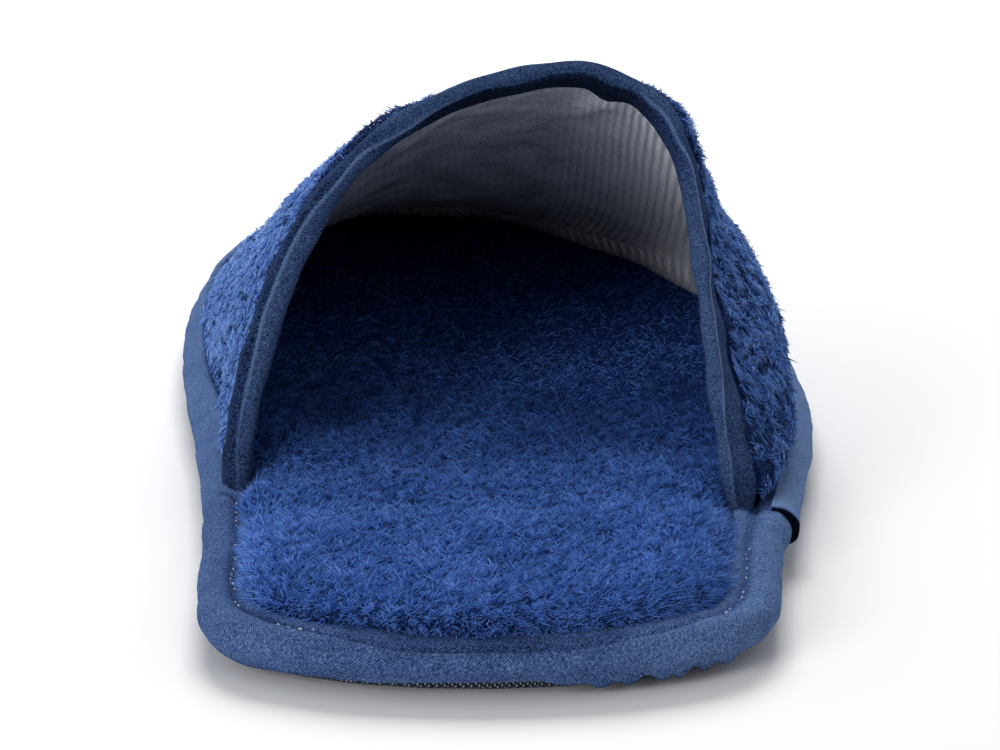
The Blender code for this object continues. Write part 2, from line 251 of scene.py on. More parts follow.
FOOT_LEAN = math.atan2(SHOULDER_INSET - FOOT_INSET, SHOULDER_LEVEL - FOOT_LEVEL)
WAIST_PULL, WAIST_PULL_BEHIND, WAIST_PULL_FRONT = 2.4, 12.0, 65.0
FOOT_ROWS, ARCH_ROWS, RIM_SAMPLES = 2, 24, 1440
VAMP_ROWS = ARCH_ROWS + 2 * FOOT_ROWS
print("table rows:", len(OUTLINE), "outline,", len(SECTIONS), "sections,", len(COLLAR), "collar")


# %% Smooth reading of the tables
def cubic(start, end, start_slope, end_slope, width, f):
    """Cubic piece between two values with given slopes."""
    return (
        start * (1 + 2 * f) * (1 - f) ** 2
        + end * f * f * (3 - 2 * f)
        + start_slope * width * f * (1 - f) ** 2
        - end_slope * width * f * f * (1 - f)
    )


def read_table(rows, column, at):
    """A table's column read smoothly against its first column."""
    rows = np.asarray(rows, float)
    x, y = rows[:, 0], rows[:, column]
    slope = np.gradient(y, x)
    at = np.clip(at, x[0], x[-1])
    i = np.clip(np.searchsorted(x, at, side="right") - 1, 0, len(x) - 2)
    width = x[i + 1] - x[i]
    return cubic(y[i], y[i + 1], slope[i], slope[i + 1], width, (at - x[i]) / width)


def ease(share):
    """0 to 1 with level ends."""
    share = np.clip(share, 0.0, 1.0)
    return share * share * (3 - 2 * share)


def grow(value, start, over):
    """0 up to a start, then smoothly up to 1 over a distance."""
    return ease((value - start) / over)


def bell(value, middle, half, power=2):
    """1 at the middle, fading to both sides. A higher power makes its top flatter."""
    return np.exp(-(((value - middle) / half) ** power))


def closed_curve(points, samples):
    """Smooth closed curve through the points: a periodic cubic measured along its chords."""
    points = np.asarray(points, float)
    count = len(points)
    step = np.linalg.norm(np.roll(points, -1, axis=0) - points, axis=1)
    before = np.roll(step, 1)
    chord = (np.roll(points, -1, axis=0) - points) / step[:, None]
    pull = 3 * (chord * before[:, None] + np.roll(chord, 1, axis=0) * step[:, None])
    matrix = np.zeros((count, count))
    for i in range(count):
        matrix[i, i] = 2 * (before[i] + step[i])
        matrix[i, i - 1] = step[i]
        matrix[i, (i + 1) % count] = before[i]
    slope = np.linalg.solve(matrix, pull)
    knots = np.concatenate([[0], np.cumsum(step)])
    where = np.linspace(0, knots[-1], samples, endpoint=False)
    i = np.minimum(np.searchsorted(knots, where, side="right") - 1, count - 1)
    j = (i + 1) % count
    f = ((where - knots[i]) / step[i])[:, None]
    return cubic(points[i], points[j], slope[i], slope[j], step[i][:, None], f)


def unit(vectors):
    return vectors / np.maximum(np.linalg.norm(vectors, axis=-1, keepdims=True), 1e-9)


table = np.asarray(OUTLINE)
RIM = closed_curve(np.column_stack([table[:, 1] * BALL_WIDTH, table[:, 0] * LENGTH]), RIM_SAMPLES)
RIM = np.roll(RIM, -int(np.argmin(RIM[:, 1])), axis=0)
TANGENT = unit(np.roll(RIM, -1, axis=0) - np.roll(RIM, 1, axis=0))
RIM_NORMAL = np.column_stack([TANGENT[:, 1], -TANGENT[:, 0]])
CENTRE_ACROSS = (RIM[:, 0].max() + RIM[:, 0].min()) / 2
CENTRE_ALONG = (RIM[:, 1].max() + RIM[:, 1].min()) / 2
TOE = int(np.argmax(RIM[:, 1]))
print("rim length", round(float(np.linalg.norm(np.diff(RIM, axis=0), axis=1).sum()), 1), "mm")


# %% Places on the sole
class InsetLine:
    """The rim moved inwards by one distance, with its outer and inner halves read against along."""

    kept = {}

    def __init__(self, inset):
        line = RIM - RIM_NORMAL * inset
        toe = int(np.argmax(line[:, 1]))
        self.outer = line[: toe + 1]
        self.inner = np.vstack([line[toe:], line[:1]])[::-1]
        self.toe = line[toe, 1]
        self.heel = line[:, 1].min()

    @classmethod
    def at(cls, inset):
        key = round(float(inset), 4)
        if key not in cls.kept:
            cls.kept[key] = cls(key)
        return cls.kept[key]

    def across(self, along, outer):
        half = self.outer if outer else self.inner
        return np.interp(along, half[:, 1], half[:, 0])


def spring(along):
    """How far the toe has left the floor."""
    return TOE_SPRING * ease((along / LENGTH - SPRING_START) / (1 - SPRING_START)) ** 1.5


def in_frame(points):
    """Table millimetres to the slipper's frame, still in millimetres."""
    points = np.asarray(points, float)
    return points + np.stack(
        [
            np.full(points.shape[:-1], -CENTRE_ACROSS),
            np.full(points.shape[:-1], -CENTRE_ALONG),
            spring(points[..., 1]),
        ],
        axis=-1,
    )


def collar_end(outer):
    """Where the vamp's foot stops at the waist."""
    along = COLLAR[0][1] if outer else COLLAR[-1][1]
    return along - COLLAR_LEAN * (SHOULDER_LEVEL - WALL_START)


def waist_pull(along, outer):
    """How much further in than elsewhere the vamp's foot stands beside the waist."""
    ahead = along - collar_end(outer)
    return WAIST_PULL * ease(1 + ahead / WAIST_PULL_BEHIND) * (1 - ease(ahead / WAIST_PULL_FRONT))


def foot_across(line, along, outer):
    """The vamp's foot on an inset line, with the waist drawn in."""
    pull = waist_pull(along, outer)
    return line.across(along, outer) - (pull if outer else -pull)


def on_edge(radius, degrees):
    """Inset and height of a point round the board's half-round edge."""
    turn = math.radians(degrees)
    inset = EDGE_CENTRE_INSET - radius * math.cos(turn)
    return np.array([inset, EDGE_CENTRE_HEIGHT + radius * math.sin(turn)])


def on_foot(height, off):
    """Inset and height of a point at a distance outside the vamp's leaning foot."""
    inset = FOOT_INSET + (height - FOOT_LEVEL) * math.tan(FOOT_LEAN)
    return np.array([inset - off * math.cos(FOOT_LEAN), height + off * math.sin(FOOT_LEAN)])


print("vamp ends at", round(collar_end(True), 1), "and", round(collar_end(False), 1), "mm")


# %% The vamp's outer face
def ridge_height(along):
    """The vamp's top line, rounded down to the shoulder at the toe."""
    line = read_table(SECTIONS, 2, along / LENGTH) * INSTEP_HEIGHT
    start, end = TOE_ROUND_START * LENGTH, InsetLine.at(SHOULDER_INSET).toe
    share = np.clip((along - start) / (end - start), 0.0, 1.0)
    return SHOULDER_LEVEL + (line - SHOULDER_LEVEL) * np.sqrt(1 - share**2)


def vamp_line(row, toward_toe):
    """Points of the vamp's outer face on one row, from the collar to the toe. Rows count from the
    outer foot over to the inner foot."""
    from_foot = min(row, VAMP_ROWS - row)
    share = min(max((row - FOOT_ROWS) / ARCH_ROWS, 0.0), 1.0)
    outer = share <= 0.5
    height = min(WALL_START + (SHOULDER_LEVEL - WALL_START) * from_foot / FOOT_ROWS, SHOULDER_LEVEL)
    line = InsetLine.at(on_foot(height, 0.0)[0])
    collar = read_table(COLLAR, 1, share) - COLLAR_LEAN * (SHOULDER_LEVEL - height)
    along = collar + (line.toe - collar) * (1 - (1 - toward_toe) ** 2)
    if from_foot < FOOT_ROWS:
        return np.column_stack([foot_across(line, along, outer), along, np.full_like(along, height)])
    sides = foot_across(line, along, False), foot_across(line, along, True)
    ridge = np.clip(read_table(SECTIONS, 1, along / LENGTH), sides[0], sides[1])
    fullness = read_table(SECTIONS, 3 if outer else 4, along / LENGTH)
    c, s = abs(math.cos(math.pi * share)), abs(math.sin(math.pi * share))
    fullness = fullness + (2.0 - fullness) * s**CROWN_POWER
    radius = (c**fullness + s**fullness) ** (-1 / fullness)
    across = ridge + (sides[outer] - ridge) * radius * c
    up = SHOULDER_LEVEL + (ridge_height(along) - SHOULDER_LEVEL) * radius * s
    return np.column_stack([across, along, up])


class Skin:
    """A curved face kept as a grid of points. u and v run from 0 to 1 along its two sides."""

    def __init__(self, points):
        self.points = points
        self.side_u = unit(np.gradient(points, axis=0))
        self.side_v = unit(np.gradient(points, axis=1))
        self.normal = unit(np.cross(self.side_v, self.side_u))
        self.run_u = self.lengths(0)
        self.run_v = self.lengths(1)

    def lengths(self, axis):
        """Millimetres along the face from its first edge."""
        step = np.linalg.norm(np.diff(self.points, axis=axis), axis=-1)
        start = np.zeros_like(self.points[..., 0])
        total = np.cumsum(step, axis=axis)
        start[(slice(1, None), slice(None)) if axis == 0 else (slice(None), slice(1, None))] = total
        return start

    def read(self, values, u, v):
        """Values of the grid between its points."""
        rows, columns = values.shape[:2]
        a, b = np.clip(u, 0, 1) * (rows - 1), np.clip(v, 0, 1) * (columns - 1)
        i, j = np.minimum(a.astype(int), rows - 2), np.minimum(b.astype(int), columns - 2)
        f, g = a - i, b - j
        if values.ndim == 3:
            f, g = f[..., None], g[..., None]
        low = values[i, j] * (1 - g) + values[i, j + 1] * g
        high = values[i + 1, j] * (1 - g) + values[i + 1, j + 1] * g
        return low * (1 - f) + high * f


VAMP_GRID, COLLAR_EASE = (281, 121), 24.0
COLLAR_SHIFT = (
    # share over the vamp, how far the sewn edge stands out from the even curve
    (0.00, -1.4), (0.06, -0.7), (0.13, -0.4), (0.20, -0.9), (0.26, -0.5), (0.32, -0.1), (0.37, 0.1),
    (0.43, 0.0), (0.50, 1.0), (0.56, 0.5), (0.64, -0.3), (0.72, -0.1), (0.80, 0.2), (0.86, 0.6),
    (0.92, 1.4), (1.00, 0.6),
)
vamp_rows, toward_toe = [np.linspace(0, 1, points) for points in VAMP_GRID]
even = Skin(in_frame(np.stack([vamp_line(u * VAMP_ROWS, toward_toe) for u in vamp_rows])))
shift = read_table(COLLAR_SHIFT, 1, vamp_rows)[:, None] * (1 - ease(even.run_v / COLLAR_EASE))
vamp = Skin(even.points + even.normal * shift[..., None])
COLLAR_RUN = float(vamp.run_u[-1, 0])
COLLAR_TOP = float(vamp.points[..., 2].max())
print("collar edge", round(COLLAR_RUN, 1), "mm, top at", round(COLLAR_TOP, 1), "mm")

# %% [markdown]
# ## Two ways of making pieces
# A cloth or a tape starts as a flat grid whose points are moved onto a curved shape, and it keeps a
# map in cloth millimetres so that a weave follows it. Pile starts as one fibre, a thin cone, which is
# then set thousands of times and joined into one mesh.


# %% Grids moved onto a shape
def finish_piece(piece, finish, replaces=()):
    """Gives a piece its finish and ties it to the slipper's one body."""
    piece.data.materials.append(finish.material)
    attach(piece, "root")
    for node in replaces:
        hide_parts(node)
    faces = sum(len(face.vertices) - 2 for face in piece.data.polygons)
    print(piece.name, faces, "triangles before thickness")
    return piece


def mesh_piece(name, shape):
    """An object at the origin from a bmesh."""
    mesh = bpy.data.meshes.new(name)
    shape.to_mesh(mesh)
    shape.free()
    mesh.shade_smooth()
    piece = bpy.data.objects.new(name, mesh)
    bpy.context.scene.collection.objects.link(piece)
    return piece


def shaped_grid(name, columns, rows, shape, flip=False, notes=None):
    """A grid whose points go where shape says: points and cloth places in mm, and named notes."""
    cloth = bmesh.new()
    bmesh.ops.create_grid(cloth, x_segments=columns, y_segments=rows, size=0.5)
    flat = np.array([vert.co for vert in cloth.verts])
    points, spread, *more = shape(flat[:, 0] + 0.5, flat[:, 1] + 0.5)
    places = cloth.loops.layers.uv.new("cloth")
    layers = [cloth.verts.layers.float.new(note) for note in notes or ()]
    for i, vert in enumerate(cloth.verts):
        vert.co = points[i] * MM
        for layer, values in zip(layers, more):
            vert[layer] = values[i]
        for loop in vert.link_loops:
            loop[places].uv = spread[i]
    if flip:
        bmesh.ops.reverse_faces(cloth, faces=cloth.faces)
    bmesh.ops.remove_doubles(cloth, verts=cloth.verts, dist=1e-6)
    return mesh_piece(name, cloth)


def thicken(piece, millimetres):
    """Gives a cloth its thickness, inwards from the face that shows."""
    wall = piece.modifiers.new("thickness", "SOLIDIFY")
    wall.thickness, wall.offset = millimetres * MM, -1.0
    return piece


RIPPLE_WAVES, WAVE_SPREAD = 24, (0.6, 1.4)


def ripple(points, size, seed, height=1.0):
    """A smooth random height, up or down by about the one given, with bumps of one size in mm."""
    draw = np.random.default_rng(seed)
    way = unit(draw.normal(size=(RIPPLE_WAVES, 3)))
    turns = way * draw.uniform(*WAVE_SPREAD, (RIPPLE_WAVES, 1)) * 2 * math.pi / (2 * size)
    starts = draw.uniform(0, 2 * math.pi, RIPPLE_WAVES)
    total = np.zeros(points.shape[:-1])
    for turn, start in zip(turns, starts):
        total = total + np.sin(points @ turn + start)
    return height * (total / math.sqrt(RIPPLE_WAVES / 2))


print("grid maker ready")

# %% [markdown]
# ## Woven tape
# Both bindings are cut from the same dull blue woven tape. Close up it shows a fine slanting weave,
# lighter on its pressed folds, partly from wear and partly as a painted highlight. The weave is drawn
# in the tape's own millimetres, as two crossing waves, and it raises the surface by about a tenth of a
# millimetre. The sole binding is made lighter and the collar binding darker, as painted light and
# shade.

# %% Tape finish
TAPE_RAMP = (
    # tone, shade
    (0.00, (0.001, 0.002, 0.006)),
    (0.13, (0.009, 0.022, 0.080)),
    (0.50, (0.036, 0.074, 0.200)),
    (0.95, (0.140, 0.225, 0.420)),
)
WEAVE, SLANT, YARN_LEAN, WEAVE_HEIGHT, SPECK_RISE = 0.38, 1.3, 0.8, 0.14, 0.5
SHAKE_SIZE, SHAKE, PATCH_SIZE, SPECK_SIZE = 0.9, 0.4, 7.0, 0.34
BY_WEAVE, BY_PATCH, BY_SPECK, TAPE_LEVEL, BY_WEAR_AND_PAINTED_LIGHT = 0.60, 0.35, 1.50, 0.56, 0.5
SHEEN_TINT = (0.45, 0.6, 1.0, 1.0)


def woven_tape(name, painted_brightness):
    """Tape with a slanting weave and faded patches. The note of wear and painted light makes it paler,
    and below 0 darker, as painted shade.
    """
    tape = Finish(
        name, Roughness=0.9, IOR=1.1, Specular_IOR_Level=0.04, Sheen_Weight=0.04, Sheen_Tint=SHEEN_TINT
    )
    run, width = tape.cloth()
    shake = tape.noise(SHAKE_SIZE) * SHAKE
    weave = (run + width + shake).wave(WEAVE * SLANT) * (run - width * YARN_LEAN + shake).wave(WEAVE)
    patches, specks = tape.noise(PATCH_SIZE, 3.0), tape.noise(SPECK_SIZE)
    tone = weave * BY_WEAVE + patches * BY_PATCH + specks * BY_SPECK - TAPE_LEVEL
    # The note adds wear and painted light, and painted shade where it is below 0.
    tone = tone + tape.attribute("wear_and_painted_light") * BY_WEAR_AND_PAINTED_LIGHT
    shades = [(at, tuple(part * painted_brightness for part in shade)) for at, shade in TAPE_RAMP]
    return tape.feed(Base_Color=tape.ramp(tone, *shades)).bump(weave + specks * SPECK_RISE, WEAVE_HEIGHT)


# The same tape twice: lighter on the sole, darker on the collar, as painted light and shade.
sole_tape_finish = woven_tape("sole_tape_weave", 1.2)
collar_tape_finish = woven_tape("collar_tape_weave", 0.8)
print("tape finishes made")

# %% [markdown]
# ## Sole tape
# The tape is folded round the edge of the board. At the heel its upper lip lies flat on the board
# beside the pile, with a pressed crease where it is sewn. In front it stands up against the foot of
# the vamp. It is one strip: it starts on the outer waist, goes round the toe and the heel, and its
# last end slips under its first, which leaves a dark slit. A flat strip that follows one section
# after another gives the fold, the crease and the open end in one piece.

# %% Sole tape's path and section
LIP_REACH, LIP_HEEL, LIP_HIGH, LIP_UNDER = 7.6, 8.0, 10.5, 4.5
LIP_LOW, LIP_RISE, TURN_LENGTH = {True: 7.4, False: 7.6}, {True: 60.0, False: 34.0}, 8.0
LAP_START, LAP_UNDER = 57.5, 24.0
UPRIGHT = (
    # share of the lip's height, share of the waist's pull
    (1.00, 1.0), (0.62, 0.8), (0.25, 0.4),
)
HEEL_TURN, UPRIGHT_TURN, LOW_TURN = (90, 60, 30), 24, (0, -30, -60, -90)
CURVE_STEPS = 8

lap_index = int(np.argmin(abs(RIM[:TOE, 1] - LAP_START)))
under_index = int(np.argmin(abs(RIM[:TOE, 1] - LAP_START - LAP_UNDER)))
strip = np.arange(lap_index, RIM_SAMPLES + under_index + 1)
strip_run = np.concatenate(
    [[0], np.cumsum(np.linalg.norm(np.diff(RIM[strip % RIM_SAMPLES], axis=0), axis=1))]
)


def lip_height(along, outer):
    """How high the tape's lip stands on the vamp's foot, lowest beside the waist."""
    up = grow(along, collar_end(outer), LIP_RISE[outer])
    return LIP_LOW[outer] + (LIP_HIGH - LIP_LOW[outer]) * up


def tape_section(along, outer, under):
    """The sole tape's outer face as (inset, height) points, from the lip round to the underside."""
    outside = EDGE_RADIUS + GAP + TAPE
    ahead = along - collar_end(outer) + TURN_LENGTH
    front = 0.0 if under else ease(ahead / (TURN_LENGTH - 2 * TAPE))
    lip = lip_height(along, outer) - FOOT_LEVEL
    drawn_in = np.array([waist_pull(along, outer), 0.0])
    heel = [np.array([LIP_REACH, LIP_HEEL])] + [on_edge(outside, turn) for turn in HEEL_TURN]
    upright = [on_foot(FOOT_LEVEL + up * lip, GAP + TAPE) + pull * drawn_in for up, pull in UPRIGHT]
    upright.append(on_edge(outside, UPRIGHT_TURN))
    face = [h + (v - h) * front for h, v in zip(heel, upright)]
    face += [on_edge(outside, turn) for turn in LOW_TURN]
    return np.array(face + [np.array([LIP_UNDER, face[-1][1]])]), front


def along_section(section, count):
    """Points spread evenly round a section, rounded between its corners."""
    ends = np.vstack([2 * section[0] - section[1], section, 2 * section[-1] - section[-2]])
    f = np.linspace(0, 1, CURVE_STEPS, endpoint=False)[:, None]
    fine = []
    for a, b, c, d in zip(ends, ends[1:], ends[2:], ends[3:]):
        fine.append(b + 0.5 * f * (c - a + f * (2 * a - 5 * b + 4 * c - d + f * (3 * (b - c) + d - a))))
    fine = np.vstack(fine + [section[-1:]])
    run = np.concatenate([[0], np.cumsum(np.linalg.norm(np.diff(fine, axis=0), axis=1))])
    at = np.linspace(0, run[-1], count)
    return np.column_stack([np.interp(at, run, fine[:, k]) for k in range(fine.shape[1])]), run[-1]


print("tape strip", round(float(strip_run[-1]), 1), "mm long")

# %% How the sole tape is pressed and worn
CREASE_SIDE, CREASE_HEEL, CREASE_WIDTH, CREASE_DEPTH = 2.5, 6.1, 0.75, 0.7
HEEL_LIP, HEEL_LIP_DROP, HEEL_LIP_SHADE = (-0.6, 0.8), 0.5, 0.8
# Painted light: the outer side more than the inner, and the front most, partly from wear. The lip and
# the heel's low fold get a painted highlight.
PAINTED_LIGHT_BY_SIDE = {True: (0.42, 0.88), False: (0.10, 0.34)}
PAINTED_LIGHT_AT_TOE, TOE_BLEND = 0.6, (150.0, 90.0)
LIP_HIGHLIGHT, LIP_HIGHLIGHT_WIDTH = 0.7, 0.14
LOW_FOLD, LOW_FOLD_HIGHLIGHT = (0.79, 0.035), 0.5


def press_crease(line, off, front, back):
    """Presses the sewn crease into a section, and lowers the lip behind it at the back of the heel.
    off is the distance from the lip. Returns the painted shade of the crease and of the lowered lip."""
    fold = CREASE_SIDE + (CREASE_HEEL - CREASE_SIDE) * back
    crease = (1 - front) * bell(off, fold, CREASE_WIDTH)
    lip = back * (1 - grow(off - fold, *HEEL_LIP))
    line[:, 1] -= CREASE_DEPTH * crease + HEEL_LIP_DROP * lip
    return np.maximum(crease, HEEL_LIP_SHADE * lip)


def pale_by_wear_and_painted_light(share, along, outer, front, back):
    """How much paler a section is made: on the outer side and in front by painted light, partly wear,
    and along its lip and at the low fold of the heel by a painted highlight.
    """
    side, ahead = PAINTED_LIGHT_BY_SIDE[bool(outer)]
    toe = grow(along, *TOE_BLEND)
    ahead += (PAINTED_LIGHT_AT_TOE - ahead) * toe
    pale = outer * front * (1 - toe) * LIP_HIGHLIGHT * bell(share, 0.0, LIP_HIGHLIGHT_WIDTH)
    low = back * LOW_FOLD_HIGHLIGHT * bell(share, *LOW_FOLD)
    return (side + (ahead - side) * front) * (1 - back) + pale + low


print("creases from", CREASE_SIDE, "to", CREASE_HEEL, "mm off the lip")

# %% How the sole tape laps and gathers
LAP_LIFT, LAP_FADE, LAP_LIFTED = 1.9, 66.0, (0.55, 0.35)
FLARE, FLARE_LENGTH, FLARED = 1.0, 12.0, (0.2, 0.3)
SHOULDER, SHOULDER_OUT, SHOULDER_UP = (57.0, 7.0), 0.9, 0.45
SHOULDER_BELOW_LIP, SHOULDER_ABOVE_FOLD, SHOULDER_TOP = (0.0, 0.3), (0.6, 0.3), (0.35, 0.2)
LAP_SHADE, LAP_SHADED = 1.5, (-1.0, 2.0)
GATHERS = (
    # across, half width, drop
    (9.5, 2.6, 0.9), (14.2, 2.0, 1.6), (18.2, 1.5, 1.5), (22.8, 1.5, 1.6), (25.6, 1.0, 1.6),
    (29.0, 1.0, 1.3), (32.6, 1.2, 1.0), (-20.0, 16.0, 0.5), (-36.0, 9.0, 0.6),
)
GATHERED, GATHERED_END, GATHER_SHADE = (0.70, 0.12), 40.0, 0.5


def lap(line, share, along, under):
    """The last end swells out and lies in the shade of the first, which stands off it and flares.
    Returns its painted shade."""
    ahead = along - LAP_START
    if under:
        swell = bell(along, *SHOULDER)
        waist = grow(share, *SHOULDER_BELOW_LIP) * (1 - grow(share, *SHOULDER_ABOVE_FOLD))
        line[:, 0] -= SHOULDER_OUT * swell * waist
        line[:, 1] += SHOULDER_UP * swell * (1 - grow(share, *SHOULDER_TOP))
        return LAP_SHADE * grow(ahead, *LAP_SHADED)
    line[:, 0] -= LAP_LIFT * (1 - ease(ahead / LAP_FADE)) * (1 - grow(share, *LAP_LIFTED))
    line[:, 1] += FLARE * (1 - ease(ahead / FLARE_LENGTH)) * (1 - grow(share, *FLARED))
    return 0.0


def gather(line, share, spot):
    """Small tucks under the heel, where the tape is drawn round the board. Returns their shade."""
    if spot[1] >= GATHERED_END:
        return 0.0
    tucks = sum(drop * bell(spot[0], across, half) for across, half, drop in GATHERS)
    sag = tucks * grow(share, *GATHERED)
    line[:, 1] -= sag
    return GATHER_SHADE * sag


print("gathers:", len(GATHERS))

# %% Sole tape
TAPE_STEP, TAPE_POINTS, CLEAR_OF_FLOOR, TAPE_WALL = 1.1, 28, 0.5, TAPE - 0.1
BACK_HALF, BACK_FADE, BACK_END = 10.0, 24.0, 30.0
CUT_END, CUT_SHADE, CREASE_SHADE = 1.1, 3.0, 0.6
SOLE_TAPE_RIPPLES = (
    # size, seed, height
    (9.0, 31, 0.09), (2.4, 32, 0.05),
)
SOLE_TAPE_GRID = (int(strip_run[-1] / TAPE_STEP), TAPE_POINTS)


def on_rim(at):
    """A place between two samples of the rim, and the way out from it."""
    whole, part = int(at), at - int(at)
    after = (whole + 1) % RIM_SAMPLES
    spot, normal = [line[whole] * (1 - part) + line[after] * part for line in (RIM, RIM_NORMAL)]
    return spot, unit(normal)


def shape_sole_tape(columns, rows):
    """The tape's outer face: points, lengths along and across the strip, and its wear and painted light.
    """
    stations, share = np.linspace(0, strip_run[-1], columns + 1), np.linspace(0, 1, rows + 1)
    grid, wear_and_painted_light = np.zeros((columns + 1, rows + 1, 3)), np.zeros((columns + 1, rows + 1))
    for i, at in enumerate(np.interp(stations, strip_run, strip)):
        spot, normal = on_rim(at % RIM_SAMPLES)
        outer = at % RIM_SAMPLES <= TOE
        under = outer and at > RIM_SAMPLES
        section, front = tape_section(spot[1], outer, under)
        line, width = along_section(section, rows + 1)
        back = (1 - grow(abs(spot[0]), BACK_HALF, BACK_FADE)) * (spot[1] < BACK_END)
        shade = press_crease(line, share * width, front, back) + gather(line, share, spot)
        if outer:
            shade = shade + lap(line, share, spot[1], under)
        wear_and_painted_light[i] = pale_by_wear_and_painted_light(share, spot[1], outer, front, back) - CREASE_SHADE * shade
        line[:, 1] = np.maximum(line[:, 1], CLEAR_OF_FLOOR)
        grid[i] = np.column_stack([spot[None] - normal[None] * line[:, :1], line[:, 1]])
    grid = in_frame(grid)
    # Painted shade on the cut end of the first end, beside the slit.
    wear_and_painted_light -= CUT_SHADE * bell(stations, 0.0, CUT_END)[:, None]
    soft = sum(ripple(grid, *row) for row in SOLE_TAPE_RIPPLES)
    return grid - Skin(grid).normal * soft[..., None], stations, share * width, wear_and_painted_light


def lay_strip(points, run, width, wear_and_painted_light):
    """Puts a grid's points where a strip's points are, and keeps its lengths, wear and painted light."""

    def shape(u, v):
        i = np.rint(u * (len(run) - 1)).astype(int)
        j = np.rint(v * (len(width) - 1)).astype(int)
        return points[i, j], np.column_stack([run[i], width[j]]), wear_and_painted_light[i, j]

    return shape


sole_strip = shape_sole_tape(*SOLE_TAPE_GRID)
sole_tape = shaped_grid("sole_tape", *SOLE_TAPE_GRID, lay_strip(*sole_strip), flip=True, notes=["wear_and_painted_light"])
thicken(sole_tape, TAPE_WALL)
finish_piece(sole_tape, sole_tape_finish, ["sole_binding"])

# %% [markdown]
# ## Stitches
# One row of pale stitches holds the tape's lip down beside the pile. A stitch is a short thread
# that sinks into the tape at both ends. A ball drawn out long, half sunk in the crease, gives that,
# and it is set again at every step of the row, a little unevenly, down both sides. Round the back of
# the heel the pile lies over the row, so none are set there.

# %% Stitches
STITCH_PITCH, STITCH_SIZE, STITCH_BALL = 2.2, (0.75, 0.32, 0.38), (8, 5)
STITCH_FROM, STITCH_TO = LAP_START - 9.0, collar_end(False) - TURN_LENGTH
PILE_OVER = {True: 13.0, False: 9.5}
STITCH_LOST, STITCH_STRAY, STITCH_RISE, STITCH_VARY = 0.25, 0.22, (-0.22, 0.08), (0.85, 1.1)
THREAD_RAMP = (0.3, (0.30, 0.35, 0.45)), (0.7, (0.62, 0.68, 0.76))


def in_order(shape):
    """Lists a shape's faces by their corners, because a new ball lists them differently on each run."""
    shape.verts.index_update()
    corners = [vert.co.copy() for vert in shape.verts]
    faces = [[vert.index for vert in face.verts] for face in shape.faces]
    lowest = [face.index(min(face)) for face in faces]
    shape.clear()
    verts = [shape.verts.new(corner) for corner in corners]
    for face in sorted(face[k:] + face[:k] for face, k in zip(faces, lowest)):
        shape.faces.new([verts[k] for k in face])
    return shape


thread = Finish("thread", Roughness=0.8)
thread.feed(Base_Color=thread.ramp(thread.noise(0.4), *THREAD_RAMP))
tape_skin, tape_run, tape_width = Skin(sole_strip[0]), sole_strip[1][-1], sole_strip[2][-1]
draw = np.random.default_rng(36)
stitches = bmesh.new()
for at in np.arange(0.0, tape_run, STITCH_PITCH):
    u, v = np.array([at / tape_run]), np.array([CREASE_SIDE / tape_width])
    spot = tape_skin.read(tape_skin.points, u, v)[0]
    index = np.interp(at, strip_run, strip)
    along, outer = spot[1] + CENTRE_ALONG, index > RIM_SAMPLES
    lost = draw.uniform() < STITCH_LOST or along < PILE_OVER[bool(outer)]
    if lost or index < TOE or along > (STITCH_FROM if outer else STITCH_TO):
        continue
    run, up = [tape_skin.read(side, u, v)[0] for side in (tape_skin.side_u, tape_skin.normal)]
    turn = Matrix(np.column_stack([run, np.cross(up, run), up])).to_4x4()
    aside = np.cross(up, run) * draw.normal() * STITCH_STRAY
    turn.translation = (spot + aside + up * draw.uniform(*STITCH_RISE)) * MM
    size = [side * MM * draw.uniform(*STITCH_VARY) for side in STITCH_SIZE]
    bmesh.ops.create_uvsphere(
        stitches, u_segments=STITCH_BALL[0], v_segments=STITCH_BALL[1], radius=0.5,
        matrix=turn @ Matrix.Diagonal((*size, 1.0)),
    )
finish_piece(mesh_piece("sole_stitches", in_order(stitches)), thread)

# %% [markdown]
# ## Sole cloth
# Under the tape a strip of the sole's own cloth shows: a coarse dark weave with pale specks. The
# board's solid already has the right shape, so it stays and only gets this finish, drawn in the
# slipper's own millimetres.

# %% Sole cloth finish on the board
COARSE_WEAVE, COARSE_HEIGHT, COARSE_FUZZ = 0.50, 0.15, 0.4
COARSE_RAMP = (
    # tone, shade
    (0.25, (0.006, 0.008, 0.020)), (0.42, (0.030, 0.040, 0.090)), (0.62, (0.42, 0.45, 0.55)),
)

cloth = Finish("sole_cloth_weave", Roughness=0.9)
spot = cloth.node("ShaderNodeSeparateXYZ", None, {0: cloth.place()}).socket.node
east, north, up = [Value(cloth, spot.outputs[k]) * (1 / MM) for k in range(3)]
warp, weft = (east + north * 0.4).wave(COARSE_WEAVE), (up + north + east * 0.5).wave(COARSE_WEAVE)
check = warp * weft
speckled = check + cloth.noise(COARSE_FUZZ) * 0.5 - 0.2
cloth.feed(Base_Color=cloth.ramp(speckled, *COARSE_RAMP)).bump(check, COARSE_HEIGHT)
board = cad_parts["outsole"]
board.material_slots[0].material = cloth.material
print("sole cloth on", board.name)

# %% [markdown]
# ## Insole pad
# The insole is a thin pad, flat on the board and rounded at its edge. A grid is laid over the sole's
# outline, and each point rises by how far it is from the rim. Its underside is closed with one face,
# so that the pad is a solid form. The pad is painted dark, as painted shade, because only the depths
# between the fibres show.

